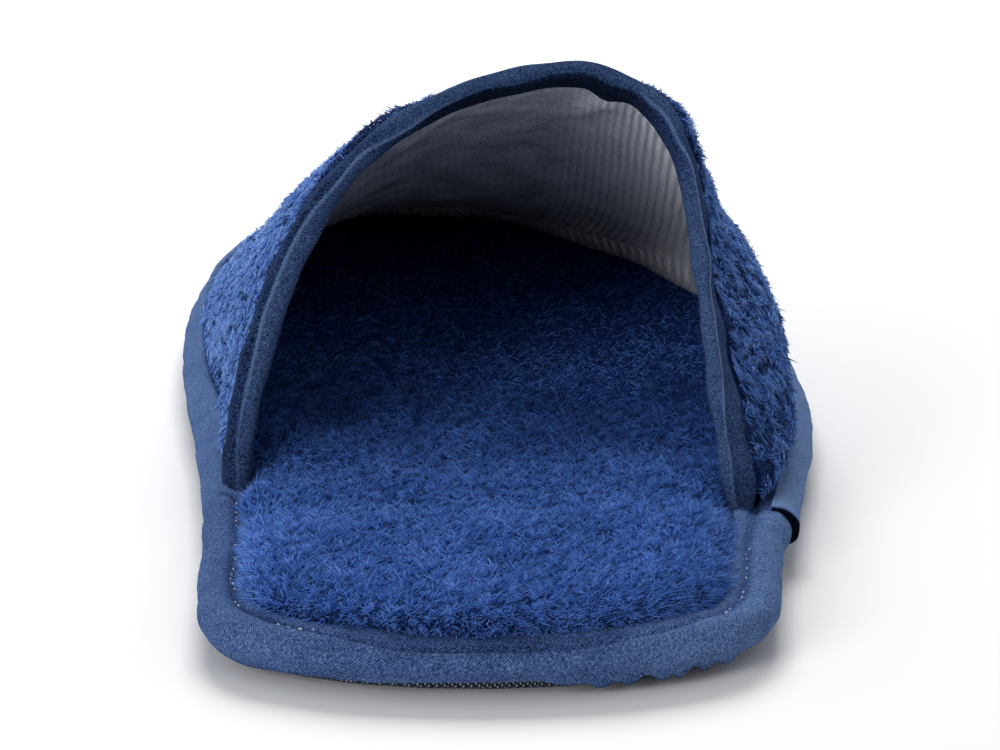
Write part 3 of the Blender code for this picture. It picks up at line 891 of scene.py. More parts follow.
# %% Insole pad
INSOLE_EDGE = np.array([(6.5, 0.0), (7.0, 1.1), (8.3, 2.1), (11.0, 2.8), (14.0, 3.2)])
PAD_GRID, PAD_LEVEL, PAD_RIPPLE, PAD_ROUND = (48, 140), BOARD_TOP + GAP, (11.0, 41, 0.25), 2.0
PAD_CHUNK, RIM_SKIP = 4000, 4
PAD_DRAWN = (
    # along, how far the edge is drawn in on the inner side, and on the outer side
    (0.0, 0.5, 0.8), (16.0, 1.1, 1.4), (32.0, 0.4, 1.2), (45.0, 0.3, 1.2), (56.0, 0.2, 0.6),
    (68.0, -0.3, -0.4), (80.0, -0.9, -0.9), (265.0, -0.9, -0.9),
)
BACKING_PAINTED_SHADE = (0.35, (0.006, 0.018, 0.085)), (0.7, (0.022, 0.055, 0.20))


def pad_points(u, v):
    """The pad's top face: u across it from the inner side, v from the heel to the toe."""
    line = InsetLine.at(INSOLE_EDGE[0, 0])
    along = line.heel + (line.toe - line.heel) * (1 - np.cos(math.pi * v)) / 2
    drawn = [read_table(PAD_DRAWN, column, along) for column in (1, 2)]
    sides = foot_across(line, along, False) + drawn[0], foot_across(line, along, True) - drawn[1]
    across = sides[0] + (sides[1] - sides[0]) * (1 - np.cos(math.pi * u)) / 2
    inset = np.full(len(across), np.inf)
    for start in range(0, len(across), PAD_CHUNK):
        part = slice(start, start + PAD_CHUNK)
        away = np.column_stack([across[part], along[part]])[:, None] - RIM[None, ::RIM_SKIP]
        inset[part] = np.linalg.norm(away, axis=2).min(axis=1)
    outer = across > CENTRE_ACROSS
    inset -= np.where(outer, waist_pull(along, True) + drawn[1], waist_pull(along, False) + drawn[0])
    raised = np.interp(inset, INSOLE_EDGE[:, 0], INSOLE_EDGE[:, 1])
    flat = np.column_stack([across, along, PAD_LEVEL + raised])
    flat[:, 2] += ripple(flat, *PAD_RIPPLE) * ease(raised / PAD_ROUND)
    return in_frame(flat)


# The backing of both piles is painted dark, as painted shade for the depths between the fibres.
backing = Finish("pile_backing", Roughness=1.0, IOR=1.1, Specular_IOR_Level=0.04)
backing_shade = backing.ramp(backing.noise(1.2, 3.0), *BACKING_PAINTED_SHADE)
backing.feed(Base_Color=backing_shade).bump(backing.noise(0.8), 0.3)

pad = shaped_grid("insole_pad", *PAD_GRID, lambda u, v: (pad_points(u, v), np.column_stack([u, v])))
pad_shape = bmesh.new()
pad_shape.from_mesh(pad.data)
bmesh.ops.holes_fill(pad_shape, edges=[e for e in pad_shape.edges if e.is_boundary], sides=0)
bmesh.ops.recalc_face_normals(pad_shape, faces=pad_shape.faces)
pad_shape.to_mesh(pad.data)
pad_shape.free()
finish_piece(pad, backing, ["insole"])

# %% [markdown]
# ## Upper cloth and lining
# The vamp is two layers sewn back to back: towelling outside and a grey ribbed cloth inside. Each is
# a grid on the vamp's own face, moved in by its depth, and each gets its own thickness. The lining
# carries a map of how far across a point lies, so that its ribs, drawn by the finish, run straight to
# the toe. A few soft creases are listed, where it gives behind the collar. A note of painted shade
# darkens and smooths it on the inner side and at the foot of the toe, and on the outer wall it is
# painted lighter and brings the ribs out. The grooves between the ribs get painted shade.

# %% Upper cloth
UPPER_GRID, UPPER_WALL = (100, 50), 0.6
UPPER_RIPPLE, UPPER_SINK, UPPER_EASE = (9.0, 51, 0.15), 0.2, 5
PRESSED_TROUGHS = (
    # distance from the collar, half width, depth
    (9.5, 3.0, 0.5),
    (46.0, 9.0, 0.4),
)
SWELLS = (
    # share over the vamp, half of it, distance from the collar, half of it, how far out
    (0.040, 0.07, 12.0, 28.0, 5.2),
    (0.965, 0.05, 14.0, 16.0, 1.8),
    (0.400, 0.06, 13.0, 9.0, 1.2),
    (0.130, 0.07, 32.0, 18.0, 2.1),
    (0.680, 0.07, 8.6, 2.8, 2.0),
    (0.345, 0.06, 8.6, 2.8, 1.5),
    (0.240, 0.035, 38.0, 13.0, -1.6),
    (0.085, 0.050, 58.0, 20.0, 0.9),
    (0.890, 0.070, 138.0, 24.0, -1.7),
)


def upper_out(points, run, share):
    """How far the towelling stands out from the vamp's even face: troughs go in, swells go out."""
    out = -ripple(points, *UPPER_RIPPLE) - UPPER_SINK
    for at, half, depth in PRESSED_TROUGHS:
        out = out - depth * bell(run, at, half)
    for middle, wide, at, half, most in SWELLS:
        out = out + most * bell(share, middle, wide) * bell(run, at, half)
    return out * ease(run / UPPER_EASE)


stands_out = upper_out(vamp.points, vamp.run_v, vamp_rows[:, None])
towelling = Skin(vamp.points + vamp.normal * stands_out[..., None])


def lay_upper(u, v):
    places = [towelling.read(run, u, v) for run in (towelling.run_u, towelling.run_v)]
    return towelling.read(towelling.points, u, v), np.column_stack(places)


upper = thicken(shaped_grid("upper_cloth", *UPPER_GRID, lay_upper, flip=True), UPPER_WALL)
finish_piece(upper, backing, ["upper"])

# %% Lining's shape
LINING_GRID, LINING_RIPPLE = (150, 64), (8.0, 61, 0.15)
FAN_ACROSS, FAN_ALONG = -17.0, -1200.0
PINCH, PINCH_REACH, PINCH_FROM = 1.4, 14.0, 4.0
TOE_SAG, TOE_SAG_DEPTH, TOE_SAG_ROUND = (236.0, 20.0), 3.5, 0.2
# Painted shade on the inner side and at the foot of the toe, and painted light on the outer wall, where
# the note is below 0.
PAINTED_SHADE_INNER, PAINTED_SHADE_OUTER, PAINTED_SHADE_TURN = 0.44, -0.98, (8.0, 28.0)
PAINTED_SHADE_FOOT, PAINTED_SHADE_FOOT_FROM = 0.5, (222.0, 30.0)
LINING_CREASE_END = 4.0
LINING_CREASES = (
    # share over the vamp at start and end, distance from the collar at start and end, half width, depth
    (0.43, 0.55, 3.0, 44.0, 5.5, 1.3),
    (0.60, 0.66, 12.0, 40.0, 2.0, 0.7),
    (0.68, 0.80, 30.0, 34.0, 1.8, 0.6),
)


def lining_dent(base, run, u):
    """How far the lining stands in from its even face: a slight ripple, less the creases."""
    dent = ripple(base, *LINING_RIPPLE)
    for start, end, near, far, half, depth in LINING_CREASES:
        share = np.clip((run - near) / (far - near), 0, 1)
        off = (u - (start + (end - start) * share)) * COLLAR_RUN
        past = np.clip(near - run, 0, None) + np.clip(run - far, 0, None)
        dent = dent - depth * bell(past, 0.0, LINING_CREASE_END) * bell(off, 0.0, half)
    return dent


def lay_lining(u, v):
    run, base = vamp.read(vamp.run_v, u, v), vamp.read(vamp.points, u, v)
    along = base[:, 1] + CENTRE_ALONG
    across = (base[:, 0] - FAN_ACROSS) / (1 - base[:, 1] / FAN_ALONG)
    depth = PINCH - lining_dent(base, run, u) * ease(run / PINCH_REACH)
    depth = depth + (WALL + GAP - PINCH) * grow(run, PINCH_FROM, PINCH_REACH)
    depth = depth + TOE_SAG_DEPTH * bell(along, *TOE_SAG) * ease((0.5 - abs(u - 0.5)) / TOE_SAG_ROUND)
    foot = ease((abs(u - 0.5) - 0.5) * VAMP_ROWS / FOOT_ROWS + 1.0)
    smoothing_and_painted_shade = PAINTED_SHADE_INNER + (PAINTED_SHADE_OUTER - PAINTED_SHADE_INNER) * grow(base[:, 0], *PAINTED_SHADE_TURN)
    smoothing_and_painted_shade = smoothing_and_painted_shade + PAINTED_SHADE_FOOT * foot * grow(along, *PAINTED_SHADE_FOOT_FROM)
    points = base - vamp.read(vamp.normal, u, v) * depth[:, None]
    return points, np.column_stack([across, along]), smoothing_and_painted_shade


print("lining creases:", len(LINING_CREASES))

# %% Ribbed lining
RIB, RIB_HEIGHT, RIB_WAVER, KNIT, LINING_WALL = 1.5, 0.25, (3.0, 0.5), 1.2, 0.4
FUZZ_SIZE, MOTTLE_SIZE = 0.45, 7.0
BY_FUZZ, BY_MOTTLE, LINING_LEVEL, BY_PAINTED_SHADE = 0.80, 0.5, 0.125, 0.5
GROOVE_SHADE, GROOVE_BY_PAINTED_SHADE = 0.14, 0.34
RELIEF, RELIEF_BY_PAINTED_SHADE, FUZZ_RELIEF = 0.74, 1.26, 0.5
LINING_RAMP = (
    # tone, shade
    (0.0, (0.02, 0.02, 0.025)), (0.12, (0.20, 0.21, 0.25)), (0.40, (0.56, 0.59, 0.70)),
    (0.75, (0.92, 0.94, 1.0)),
)

lining_finish = Finish("ribbed_lining", Roughness=0.95, Specular_IOR_Level=0.2)
across, along = lining_finish.cloth()
rib = (across + lining_finish.noise(RIB_WAVER[0]) * RIB_WAVER[1]).wave(RIB)
groove = (1 - rib) * (1 - rib)
fuzz, smoothing_and_painted_shade = lining_finish.noise(FUZZ_SIZE, 3.0), lining_finish.attribute("smoothing_and_painted_shade")
tone = fuzz * BY_FUZZ + lining_finish.noise(MOTTLE_SIZE) * BY_MOTTLE - LINING_LEVEL
# Painted shade in the grooves and from the note, and painted light where the note is below 0.
tone = tone - groove * (GROOVE_SHADE - smoothing_and_painted_shade * GROOVE_BY_PAINTED_SHADE) - smoothing_and_painted_shade * BY_PAINTED_SHADE
knit = rib * ((along + across * 0.5).wave(KNIT) * 0.5 + 0.75)
relief = knit * (RELIEF - smoothing_and_painted_shade * RELIEF_BY_PAINTED_SHADE) + fuzz * FUZZ_RELIEF
lining_finish.feed(Base_Color=lining_finish.ramp(tone, *LINING_RAMP)).bump(relief, RIB_HEIGHT)
lining = thicken(shaped_grid("lining", *LINING_GRID, lay_lining, notes=["smoothing_and_painted_shade"]), LINING_WALL)
finish_piece(lining, lining_finish)

# %% [markdown]
# ## Collar tape
# The cut edge of the vamp is bound with the same tape, folded over it: a narrow leg outside, pressed
# into the pile, a rounded front, and a longer leg inside. The fold shows as a pale line, partly wear and
# partly a painted highlight, which is lost where the tape is rolled, at the top and towards both ends.
# On each side of the fold the strip is painted lighter or darker as painted light and shade, darkest on
# the inner band at the top. A strip that follows the cut edge with one folded section gives all of it,
# and the inner leg is let wander a little at the top, where the tape is eased round the curve.

# %% Collar tape's section
COLLAR_INNER_LEG = 4.6
COLLAR_FOLDS = (
    # share over the vamp, outer leg, how thick outside and inside, place of the fold across the strip,
    # how much paler the strip is outside the fold and inside it, as painted light, and as painted shade
    # where it is below 0
    (0.00, 2.4, 0.60, 0.60, 0.37, -0.10, 0.1),
    (0.07, 2.9, 0.60, 0.60, 0.38, -0.10, 0.1),
    (0.10, 3.9, 0.60, 0.60, 0.40, -0.10, 0.1),
    (0.13, 5.1, 0.60, 0.60, 0.42, -0.15, 0.1),
    (0.16, 6.2, 0.60, 0.60, 0.42, -0.20, 0.1),
    (0.20, 6.0, 0.65, 0.65, 0.40, -0.30, 0.1),
    (0.30, 4.6, 0.80, 0.80, 0.39, -0.30, 0.0),
    (0.37, 4.6, 0.85, 0.85, 0.47, 0.0, -0.5),
    (0.43, 4.6, 0.85, 0.85, 0.53, 0.1, -1.0),
    (0.50, 4.6, 0.85, 0.85, 0.57, 0.1, -1.0),
    (0.62, 4.6, 1.00, 0.85, 0.57, 0.1, -0.9),
    (0.70, 4.6, 1.40, 0.85, 0.48, -0.4, -0.1),
    (0.78, 4.6, 1.90, 0.85, 0.43, -0.5, 0.04),
    (0.92, 4.4, 1.90, 0.85, 0.43, -0.5, 0.04),
    (1.00, 2.6, 1.40, 0.85, 0.42, -0.4, 0.02),
)
EASED = (
    # share over the vamp, half width, how much longer the inner leg is
    (0.355, 0.018, 1.3), (0.388, 0.014, 0.9), (0.420, 0.012, -0.6), (0.455, 0.018, 1.9),
    (0.508, 0.030, -0.8), (0.548, 0.020, 0.3), (0.640, 0.040, 0.5),
)
HANG, HANG_MOST, HANG_EASED = (0.50, 0.17), 1.0, 0.5


def collar_section(u):
    """The folded strip's outer face at one place of the cut edge, as (past the edge, off the face)."""
    longer = sum(most * bell(u, at, half) for at, half, most in EASED)
    outer, face, thick = [float(read_table(COLLAR_FOLDS, column, u)) for column in (1, 2, 3)]
    back = -PINCH - thick
    hang = HANG_MOST * bell(u, *HANG, power=4) + HANG_EASED * longer
    return np.array(
        [
            (-outer, face - 0.3), (-0.55 * outer, face + 0.1), (-0.9, face + 0.1), (0.3, face - 0.1),
            (1.05, thick - 0.3), (1.35, -0.45), (1.20, -1.25), (0.6, back + 0.25),
            (-0.5, back - 0.3 * hang), (-2.4, back - 0.8 * hang),
            (-COLLAR_INNER_LEG - longer, back - hang),
        ]
    )


print("collar section of", len(collar_section(0.5)), "corners")

# %% Collar tape
COLLAR_GRID, COLLAR_WALL, EDGE_PROBE = (340, 52), 0.6, 0.05
TUCK_STEPS, TUCK_STEP, SMOOTH_OVER = 4, 0.8, 11
ROLLED = (
    # share over the vamp, half width, how far the pressed line is lost
    (0.00, 0.12, 0.6), (0.50, 0.11, 0.8), (1.00, 0.12, 0.65),
)
FOLD_WIDTH, FOLD_RISE, FOLD_PALE, FOLD_TURN = 0.018, 0.25, 1.6, 4
FOLD_WANDER, COLLAR_RIPPLE = (6.0, 72, 0.014), (5.0, 71, 0.15)


def fold_line(stations, share):
    """The pressed fold, 1 along its line, and the strip's paint on both sides of it: the pale fold line,
    partly wear and partly a painted highlight, and painted light and shade beside it.
    """
    past, pale_out, pale_in = [read_table(COLLAR_FOLDS, k, stations)[:, None] for k in (4, 5, 6)]
    edge = vamp.read(vamp.points, stations, np.zeros(len(stations)))
    past = share[None] - past - ripple(edge, *FOLD_WANDER)[:, None]
    rolled = sum(most * bell(stations, at, half, power=4) for at, half, most in ROLLED)[:, None]
    fold = bell(past, 0.0, FOLD_WIDTH) * (1 - rolled)
    inside = ease(past / (FOLD_TURN * FOLD_WIDTH * (1 + 2 * rolled)) + 0.5)
    return fold, FOLD_PALE * fold + pale_out + (pale_in - pale_out) * inside


def smooth_strip(grid):
    """Runs both ends of a strip on past the edge, then evens it out along its length."""
    last = len(grid) - 1
    for end, back in ((TUCK_STEPS, 1), (last - TUCK_STEPS, -1)):
        way = unit(grid[end] - grid[end + back])
        for step in range(1, TUCK_STEPS + 1):
            grid[end - back * step] = grid[end] + way * step * TUCK_STEP
    ends = ((SMOOTH_OVER // 2,) * 2, (0, 0), (0, 0))
    longer = np.pad(grid, ends, mode="reflect", reflect_type="odd")
    return sum(longer[k : k + last + 1] for k in range(SMOOTH_OVER)) / SMOOTH_OVER


def shape_collar_tape(columns, rows):
    """The tape's outer face: points, lengths along and across the strip, and its wear and painted light.
    """
    grid, share = np.zeros((columns + 1, rows + 1, 3)), np.linspace(0, 1, rows + 1)
    stations = np.clip((np.arange(columns + 1) - TUCK_STEPS) / (columns - 2 * TUCK_STEPS), 0, 1)
    for i, u in enumerate(stations):
        line, width = along_section(collar_section(u), rows + 1)
        level = np.full(rows + 1, u)
        length = vamp.read(vamp.run_v, np.array([u]), np.array([EDGE_PROBE]))[0] / EDGE_PROBE
        v = np.clip(-line[:, 0], 0, None) / length
        ahead = vamp.read(vamp.side_v, level, v) * np.clip(line[:, :1], 0, None)
        outside = vamp.read(towelling.points - vamp.points, level, v) * (line[:, 1:] > 0)
        off = vamp.read(vamp.normal, level, v) * line[:, 1:]
        grid[i] = vamp.read(vamp.points, level, v) + outside - ahead + off
    grid = smooth_strip(grid)
    fold, wear_and_painted_light = fold_line(stations, share)
    up = FOLD_RISE * fold + ripple(grid, *COLLAR_RIPPLE)
    run = np.linspace(0, COLLAR_RUN, columns + 1)
    return grid - Skin(grid).normal * up[..., None], run, share * width, wear_and_painted_light


collar_strip = lay_strip(*shape_collar_tape(*COLLAR_GRID))
collar_tape = shaped_grid("collar_tape", *COLLAR_GRID, collar_strip, notes=["wear_and_painted_light"])
thicken(collar_tape, COLLAR_WALL)
finish_piece(collar_tape, collar_tape_finish, ["collar_binding"])

# %% [markdown]
# ## Pile
# Towelling pile is thousands of short cut fibres that stand in little clumps and lean together, with
# dark gaps between the clumps. One fibre is a thin three-sided cone. It is set many times over a
# face: places are spread evenly, each fibre looks for the nearest clump and leans its way. A fibre
# keeps two notes, its own tone and how near its tip a point is, and the finish reads only those, so
# that the colour runs from a dark root, a painted shade, to a pale tip. The tone also carries the
# painted shade of the gaps and other painted light and shade.


# %% One fibre
def make_fibre():
    """A unit fibre along +Z as corner places and triangles."""
    fibre = bmesh.new()
    bmesh.ops.create_cone(fibre, cap_ends=True, segments=3, radius1=0.5, radius2=0.0, depth=1.0)
    bmesh.ops.remove_doubles(fibre, verts=fibre.verts, dist=1e-5)
    bmesh.ops.translate(fibre, verts=fibre.verts, vec=(0.0, 0.0, 0.5))
    bmesh.ops.triangulate(fibre, faces=fibre.faces)
    bmesh.ops.recalc_face_normals(fibre, faces=fibre.faces)
    fibre.verts.index_update()
    corners = np.array([vert.co for vert in fibre.verts])
    faces = np.array([[vert.index for vert in face.verts] for face in fibre.faces])
    fibre.free()
    return corners, faces


FIBRE_CORNERS, FIBRE_FACES = make_fibre()
print("fibre triangles:", len(FIBRE_FACES))

# %% Spreading and combing
EVEN_STEPS = (0.7548776662, 0.5698402910)


def scatter(skin, weight, count, seed):
    """Even places on a face, closer where the weight is high, as u and v."""
    draw = np.random.default_rng(seed)
    sides = np.diff(skin.points, axis=0)[:, :-1], np.diff(skin.points, axis=1)[:-1]
    cell = np.linalg.norm(np.cross(*sides), axis=2) * weight[:-1, :-1] + 1e-12
    rows, columns = cell.shape
    shake = draw.uniform(-0.5, 0.5, (2, count)) / math.sqrt(count)
    a, b = [(0.5 + np.arange(count) * step + move) % 1 for step, move in zip(EVEN_STEPS, shake)]
    row_share = np.cumsum(cell.sum(axis=1)) / cell.sum()
    i = np.minimum(np.searchsorted(row_share, a), rows - 1)
    before = np.concatenate([[0], row_share])[i]
    f = (a - before) / np.maximum(row_share[i] - before, 1e-12)
    share = np.cumsum(cell, axis=1) / cell.sum(axis=1, keepdims=True)
    j = np.searchsorted((np.arange(rows)[:, None] + share).ravel(), i + b) - i * columns
    j = np.clip(j, 0, columns - 1)
    start = np.where(j > 0, share[i, np.maximum(j - 1, 0)], 0.0)
    g = (b - start) / np.maximum(share[i, j] - start, 1e-12)
    return (i + np.clip(f, 0, 1)) / rows, (j + np.clip(g, 0, 1)) / columns


def comb(skin, u, v, clump_share, seed):
    """For each fibre: its root, the normal there, the way to its clump's middle, the clump's draw."""
    draw = np.random.default_rng(seed)
    root, normal = skin.read(skin.points, u, v), unit(skin.read(skin.normal, u, v))
    heads = draw.choice(len(u), max(int(len(u) * clump_share), 1), replace=False)
    tree = kdtree.KDTree(len(heads))
    for k, head in enumerate(heads):
        tree.insert(root[head], k)
    tree.balance()
    near = np.array([tree.find(point)[1] for point in root])
    to_head = root[heads[near]] - root
    return root, normal, to_head, draw.normal(size=(len(heads), 4))[near]


def lie(nap, normal, to_head, clump, own, shares):
    """The way each fibre lies on the face: by the nap, its clump, the clump's middle and its own."""
    way = nap + shares[0] * clump[:, :3] + shares[1] * to_head + shares[2] * own
    return unit(way - normal * (way * normal).sum(axis=1, keepdims=True))


def vary(clump, draw, even, by_clump, by_fibre):
    """A value that differs from clump to clump and from fibre to fibre."""
    return even + by_clump * clump[:, 3] + by_fibre * draw.normal(size=len(clump))


print("combing ready")

# %% Setting fibres
PALETTE_TONE, PALETTE_TIP = (0.04, 0.92, 0.03), (0.08, 0.84, 0.06)


def join_fibres(name, points):
    """One mesh from the places of every fibre's corners."""
    count, each = points.shape[:2]
    corner = (FIBRE_FACES[None] + (np.arange(count) * each)[:, None, None]).astype(np.int32)
    mesh = bpy.data.meshes.new(name)
    mesh.vertices.add(count * each)
    mesh.vertices.foreach_set("co", (points * MM).astype(np.float32).ravel())
    mesh.loops.add(corner.size)
    mesh.loops.foreach_set("vertex_index", corner.ravel())
    mesh.polygons.add(count * len(FIBRE_FACES))
    mesh.polygons.foreach_set("loop_start", np.arange(0, corner.size, 3, dtype=np.int32))
    return mesh, corner.ravel()


def note_fibres(mesh, corner, tone):
    """Keeps each point's tone and tip as notes, and as a map that bakes into one small palette."""
    x, y, z = FIBRE_CORNERS.T
    tone, tip = np.broadcast_arrays(np.clip(tone, 0, 1)[:, None], z[None])
    for note, values in (("tip", tip), ("tone", tone)):
        values = np.ascontiguousarray(values, dtype=np.float32).ravel()
        mesh.attributes.new(note, "FLOAT", "POINT").data.foreach_set("value", values)
    palette = [
        start + scale * values + spread * side
        for (start, scale, spread), values, side in ((PALETTE_TONE, tone, x), (PALETTE_TIP, tip, y))
    ]
    palette = np.stack(palette, axis=-1).reshape(-1, 2)[corner].astype(np.float32)
    mesh.uv_layers.new(name="OFBake").data.foreach_set("uv", palette.ravel())


def set_fibres(name, root, normal, way, tilt, length, width, tone):
    """Joins many copies of the fibre into one piece, each with its own place, lean, size and tone."""
    stem = normal * np.cos(tilt)[:, None] + way * np.sin(tilt)[:, None]
    side = unit(np.cross(stem, way + 1e-4))
    other = np.cross(stem, side)
    x, y, z = [FIBRE_CORNERS[None, :, k, None] for k in range(3)]
    points = root[:, None] + stem[:, None] * z * length[:, None, None]
    points = points + (side[:, None] * x + other[:, None] * y) * width[:, None, None]
    mesh, corner = join_fibres(name, points)
    note_fibres(mesh, corner, tone)
    mesh.update(calc_edges=True)
    mesh.validate()
    mesh.shade_smooth()
    piece = bpy.data.objects.new(name, mesh)
    bpy.context.scene.collection.objects.link(piece)
    return piece


def pile_finish(name, *shades):
    """Fibres from a dark root, a painted shade, to a pale tip, each with its own tone."""
    pile = Finish(
        name, Roughness=0.8, IOR=1.2, Specular_IOR_Level=0.10, Sheen_Weight=0.12, Sheen_Tint=SHEEN_TINT
    )
    own = pile.attribute("tone")
    tone = pile.attribute("tip") * (own * 0.60 + 0.20) + own * 0.28
    return pile.feed(Base_Color=pile.ramp(tone, *zip((0.05, 0.50, 0.95), shades)))


print("pile maker ready")

# %% [markdown]
# ## Insole pile
# The foot bed is cut pile about one and a half millimetres long, worn a little flat. Its nap lies
# back and to the outer side, most at the heel, and along the edge it leans out over the tape. It is
# made in three pieces from heel to toe, closest at the heel, where the eye is nearest, and thinner
# under the vamp, where little light reaches.

# %% Insole pile
PAD_SKIN_GRID = (97, 241)
INSOLE_PILE = (
    # name, along from, along to, fibres
    ("insole_pile_heel", 0.0, 55.0, 48000),
    ("insole_pile_waist", 55.0, 112.0, 42000),
    ("insole_pile_toe", 112.0, 265.0, 15000),
)
# The root colour is painted shade deep in the pile.
INSOLE_SHADES = (0.007, 0.022, 0.100), (0.050, 0.160, 0.58), (0.22, 0.41, 0.92)
PILE_LENGTH, PILE_WIDTH, PILE_SINK, STEEPEST = 1.65, 0.20, 0.15, 0.15
DEEP_FROM, DEEP_FADE = 90.0, 38.0
PILE_CLUMPS, PILE_LIE = 0.075, (0.8, 0.5, 0.7)
NAP, NAP_AT_HEEL, NAP_TURN = np.array([0.35, -0.35, 0.0]), np.array([0.40, -0.70, 0.0]), 70.0
EDGE_SEEN, EDGE_LEAN = (60.0, 25.0), np.array([2.2, 2.2, 0.0])
EDGE_UPRIGHT, EDGE_LONGER, EDGE_OVER = 0.7, 0.25, 0.3
PILE_TILT, PILE_TILT_LIMITS = (1.15, 0.20, 0.25), (0.3, 1.45)
# Fibres in the gaps are shorter and painted darker, as painted shade.
PILE_GAPS, GAP_LEVEL, GAP_SHORTER, GAP_PAINTED_SHADE = (1.25, 85), 0.8, 0.4, 0.40
PILE_VARY, PILE_LIMITS, PILE_WIDTHS = 0.22, (0.35, 1.6), (0.75, 1.25)
PILE_TONE, PILE_MOTTLE = (0.75, 0.16, 0.18), (9.0, 86, 0.05)
# Painted shade under the vamp from the waist, taken back by painted light further in.
WAIST_PAINTED_SHADE, INSIDE_PAINTED_LIGHT = (66.0, 46.0, 0.40), (112.0, 25.0, 0.36)

sides = [np.linspace(*ends, points) for ends, points in zip(((1, 0), (0, 1)), PAD_SKIN_GRID)]
u, v = np.meshgrid(*sides, indexing="ij")
pad_skin = Skin(pad_points(u.ravel(), v.ravel()).reshape(*PAD_SKIN_GRID, 3))
pad_along = pad_skin.points[..., 1] + CENTRE_ALONG
insole_finish = pile_finish("insole_pile", *INSOLE_SHADES)

for number, (name, start, end, count) in enumerate(INSOLE_PILE):
    draw = np.random.default_rng(80 + number)
    weight = ((pad_along >= start) & (pad_along < end)) * (pad_skin.normal[..., 2] > STEEPEST)
    weight = weight * np.exp(-np.clip(pad_along - DEEP_FROM, 0, None) / DEEP_FADE)
    u, v = scatter(pad_skin, weight, count, 90 + number)
    root, normal, to_head, clump = comb(pad_skin, u, v, PILE_CLUMPS, 95)
    along = root[:, 1] + CENTRE_ALONG
    in_view = 1 - grow(along, *EDGE_SEEN)
    edge = np.linalg.norm(normal[:, :2], axis=1) * in_view
    outward = normal * EDGE_LEAN * in_view[:, None]
    nap = NAP + NAP_AT_HEEL * (1 - ease(along / NAP_TURN))[:, None] + outward
    way = lie(nap, normal, to_head, clump, draw.normal(size=root.shape), PILE_LIE)
    tilt = np.clip(vary(clump, draw, *PILE_TILT), *PILE_TILT_LIMITS)
    tilt = np.clip(tilt - EDGE_UPRIGHT * edge, *PILE_TILT_LIMITS)
    gap = ripple(root, *PILE_GAPS) > GAP_LEVEL
    length = np.clip(vary(clump, draw, 1.0, 0.0, PILE_VARY) - GAP_SHORTER * gap, *PILE_LIMITS)
    length *= PILE_LENGTH * (1 + EDGE_LONGER * edge)
    root = root + unit(outward) * EDGE_OVER * edge[:, None]
    along = root[:, 1] + CENTRE_ALONG
    tone = vary(clump, draw, *PILE_TONE) - GAP_PAINTED_SHADE * gap + ripple(root, *PILE_MOTTLE)
    # Painted shade under the vamp, and painted light deeper in.
    tone -= WAIST_PAINTED_SHADE[2] * grow(along, *WAIST_PAINTED_SHADE[:2])
    tone += INSIDE_PAINTED_LIGHT[2] * grow(along, *INSIDE_PAINTED_LIGHT[:2])
    width = PILE_WIDTH * draw.uniform(*PILE_WIDTHS, len(root))
    piece = set_fibres(name, root - normal * PILE_SINK, normal, way, tilt, length, width, tone)
    finish_piece(piece, insole_finish)

# %% [markdown]
# ## Vamp pile
# The towelling outside is coarser and matted: its locks lie nearly flat, one over the next, and stand
# about one millimetre off their cloth. Small pits show between the locks, their fibres short and
# painted dark as painted shade, and loose ends stick out along the edge. It is combed less and leans
# further than the foot bed, and it stops at the collar tape and at the sole tape. Its inner side is
# painted paler as painted light, and it is painted darker as painted shade low on the outer side and
# beside the collar tape.

# %% Where the vamp's pile grows and how dark it is
# Painted light on the inner side, painted shade low on the outer side and beside the collar tape.
TONE_OUTER, TONE_INNER, TONE_TURN, LOW_PAINTED_SHADE, COLLAR_PAINTED_SHADE = 0.86, 1.02, (0.3, 0.4), 0.38, 0.35
LOW_SIDE, LOW_HEIGHT, HEEL_PART = (0.2, 0.3), (14.0, 18.0), (50.0, 70.0)
UNDER_COLLAR, BARE_BY_SOLE, COLLAR_SHADE_REACH = 0.8, 0.6, (3.0, 11.0)
PITS, PIT_LEVEL = (1.6, 115), 0.8
SHADED_PITS, SHADED_LEVEL = (2.0, 116), 1.4
HUGGING_PITS, HUGGING_LEVEL, HUGGING_MORE, HUGGING = (1.6, 118), 1.1, 1.6, (1.4, 7.5)
PIT_SHORTER, PIT_PAINTED_SHADE, STRAY_DARKER = 0.65, 0.8, 0.7

vamp_along = vamp.points[..., 1] + CENTRE_ALONG
vamp_share = np.broadcast_to(vamp_rows[:, None], VAMP_GRID)
vamp_lip = np.where(vamp_share < 0.5, lip_height(vamp_along, True), lip_height(vamp_along, False))
above_sole = vamp.points[..., 2] - spring(vamp_along) > vamp_lip - BARE_BY_SOLE
past_collar = vamp.run_v > read_table(COLLAR_FOLDS, 1, vamp_share) - UNDER_COLLAR
free_face = past_collar & above_sole


def vamp_pits(root, past_tape, by_collar, number):
    """Where fibres are short and painted dark as painted shade: between the locks, and more so beside
    the collar tape.
    """
    hugging = HUGGING_MORE * bell(past_tape, 0.0, HUGGING[number])
    return (
        (ripple(root, *PITS) > PIT_LEVEL)
        | (ripple(root, *SHADED_PITS) > SHADED_LEVEL - by_collar)
        | (ripple(root, *HUGGING_PITS) > HUGGING_LEVEL - hugging)
    )


def vamp_tone(u, run, height):
    """The pile's tone before each fibre's own: paler on the inner side as painted light, darker low on
    the outer one as painted shade.
    """
    by_heel = 1 - grow(run, *HEEL_PART)
    inner = 0.5 + (grow(u, *TONE_TURN) - 0.5) * by_heel
    low = (1 - grow(u, *LOW_SIDE)) * (1 - grow(height, *LOW_HEIGHT)) * by_heel
    return TONE_OUTER + (TONE_INNER - TONE_OUTER) * inner - LOW_PAINTED_SHADE * low


print("free face of the vamp:", round(100 * float(free_face.mean())), "% of its grid")

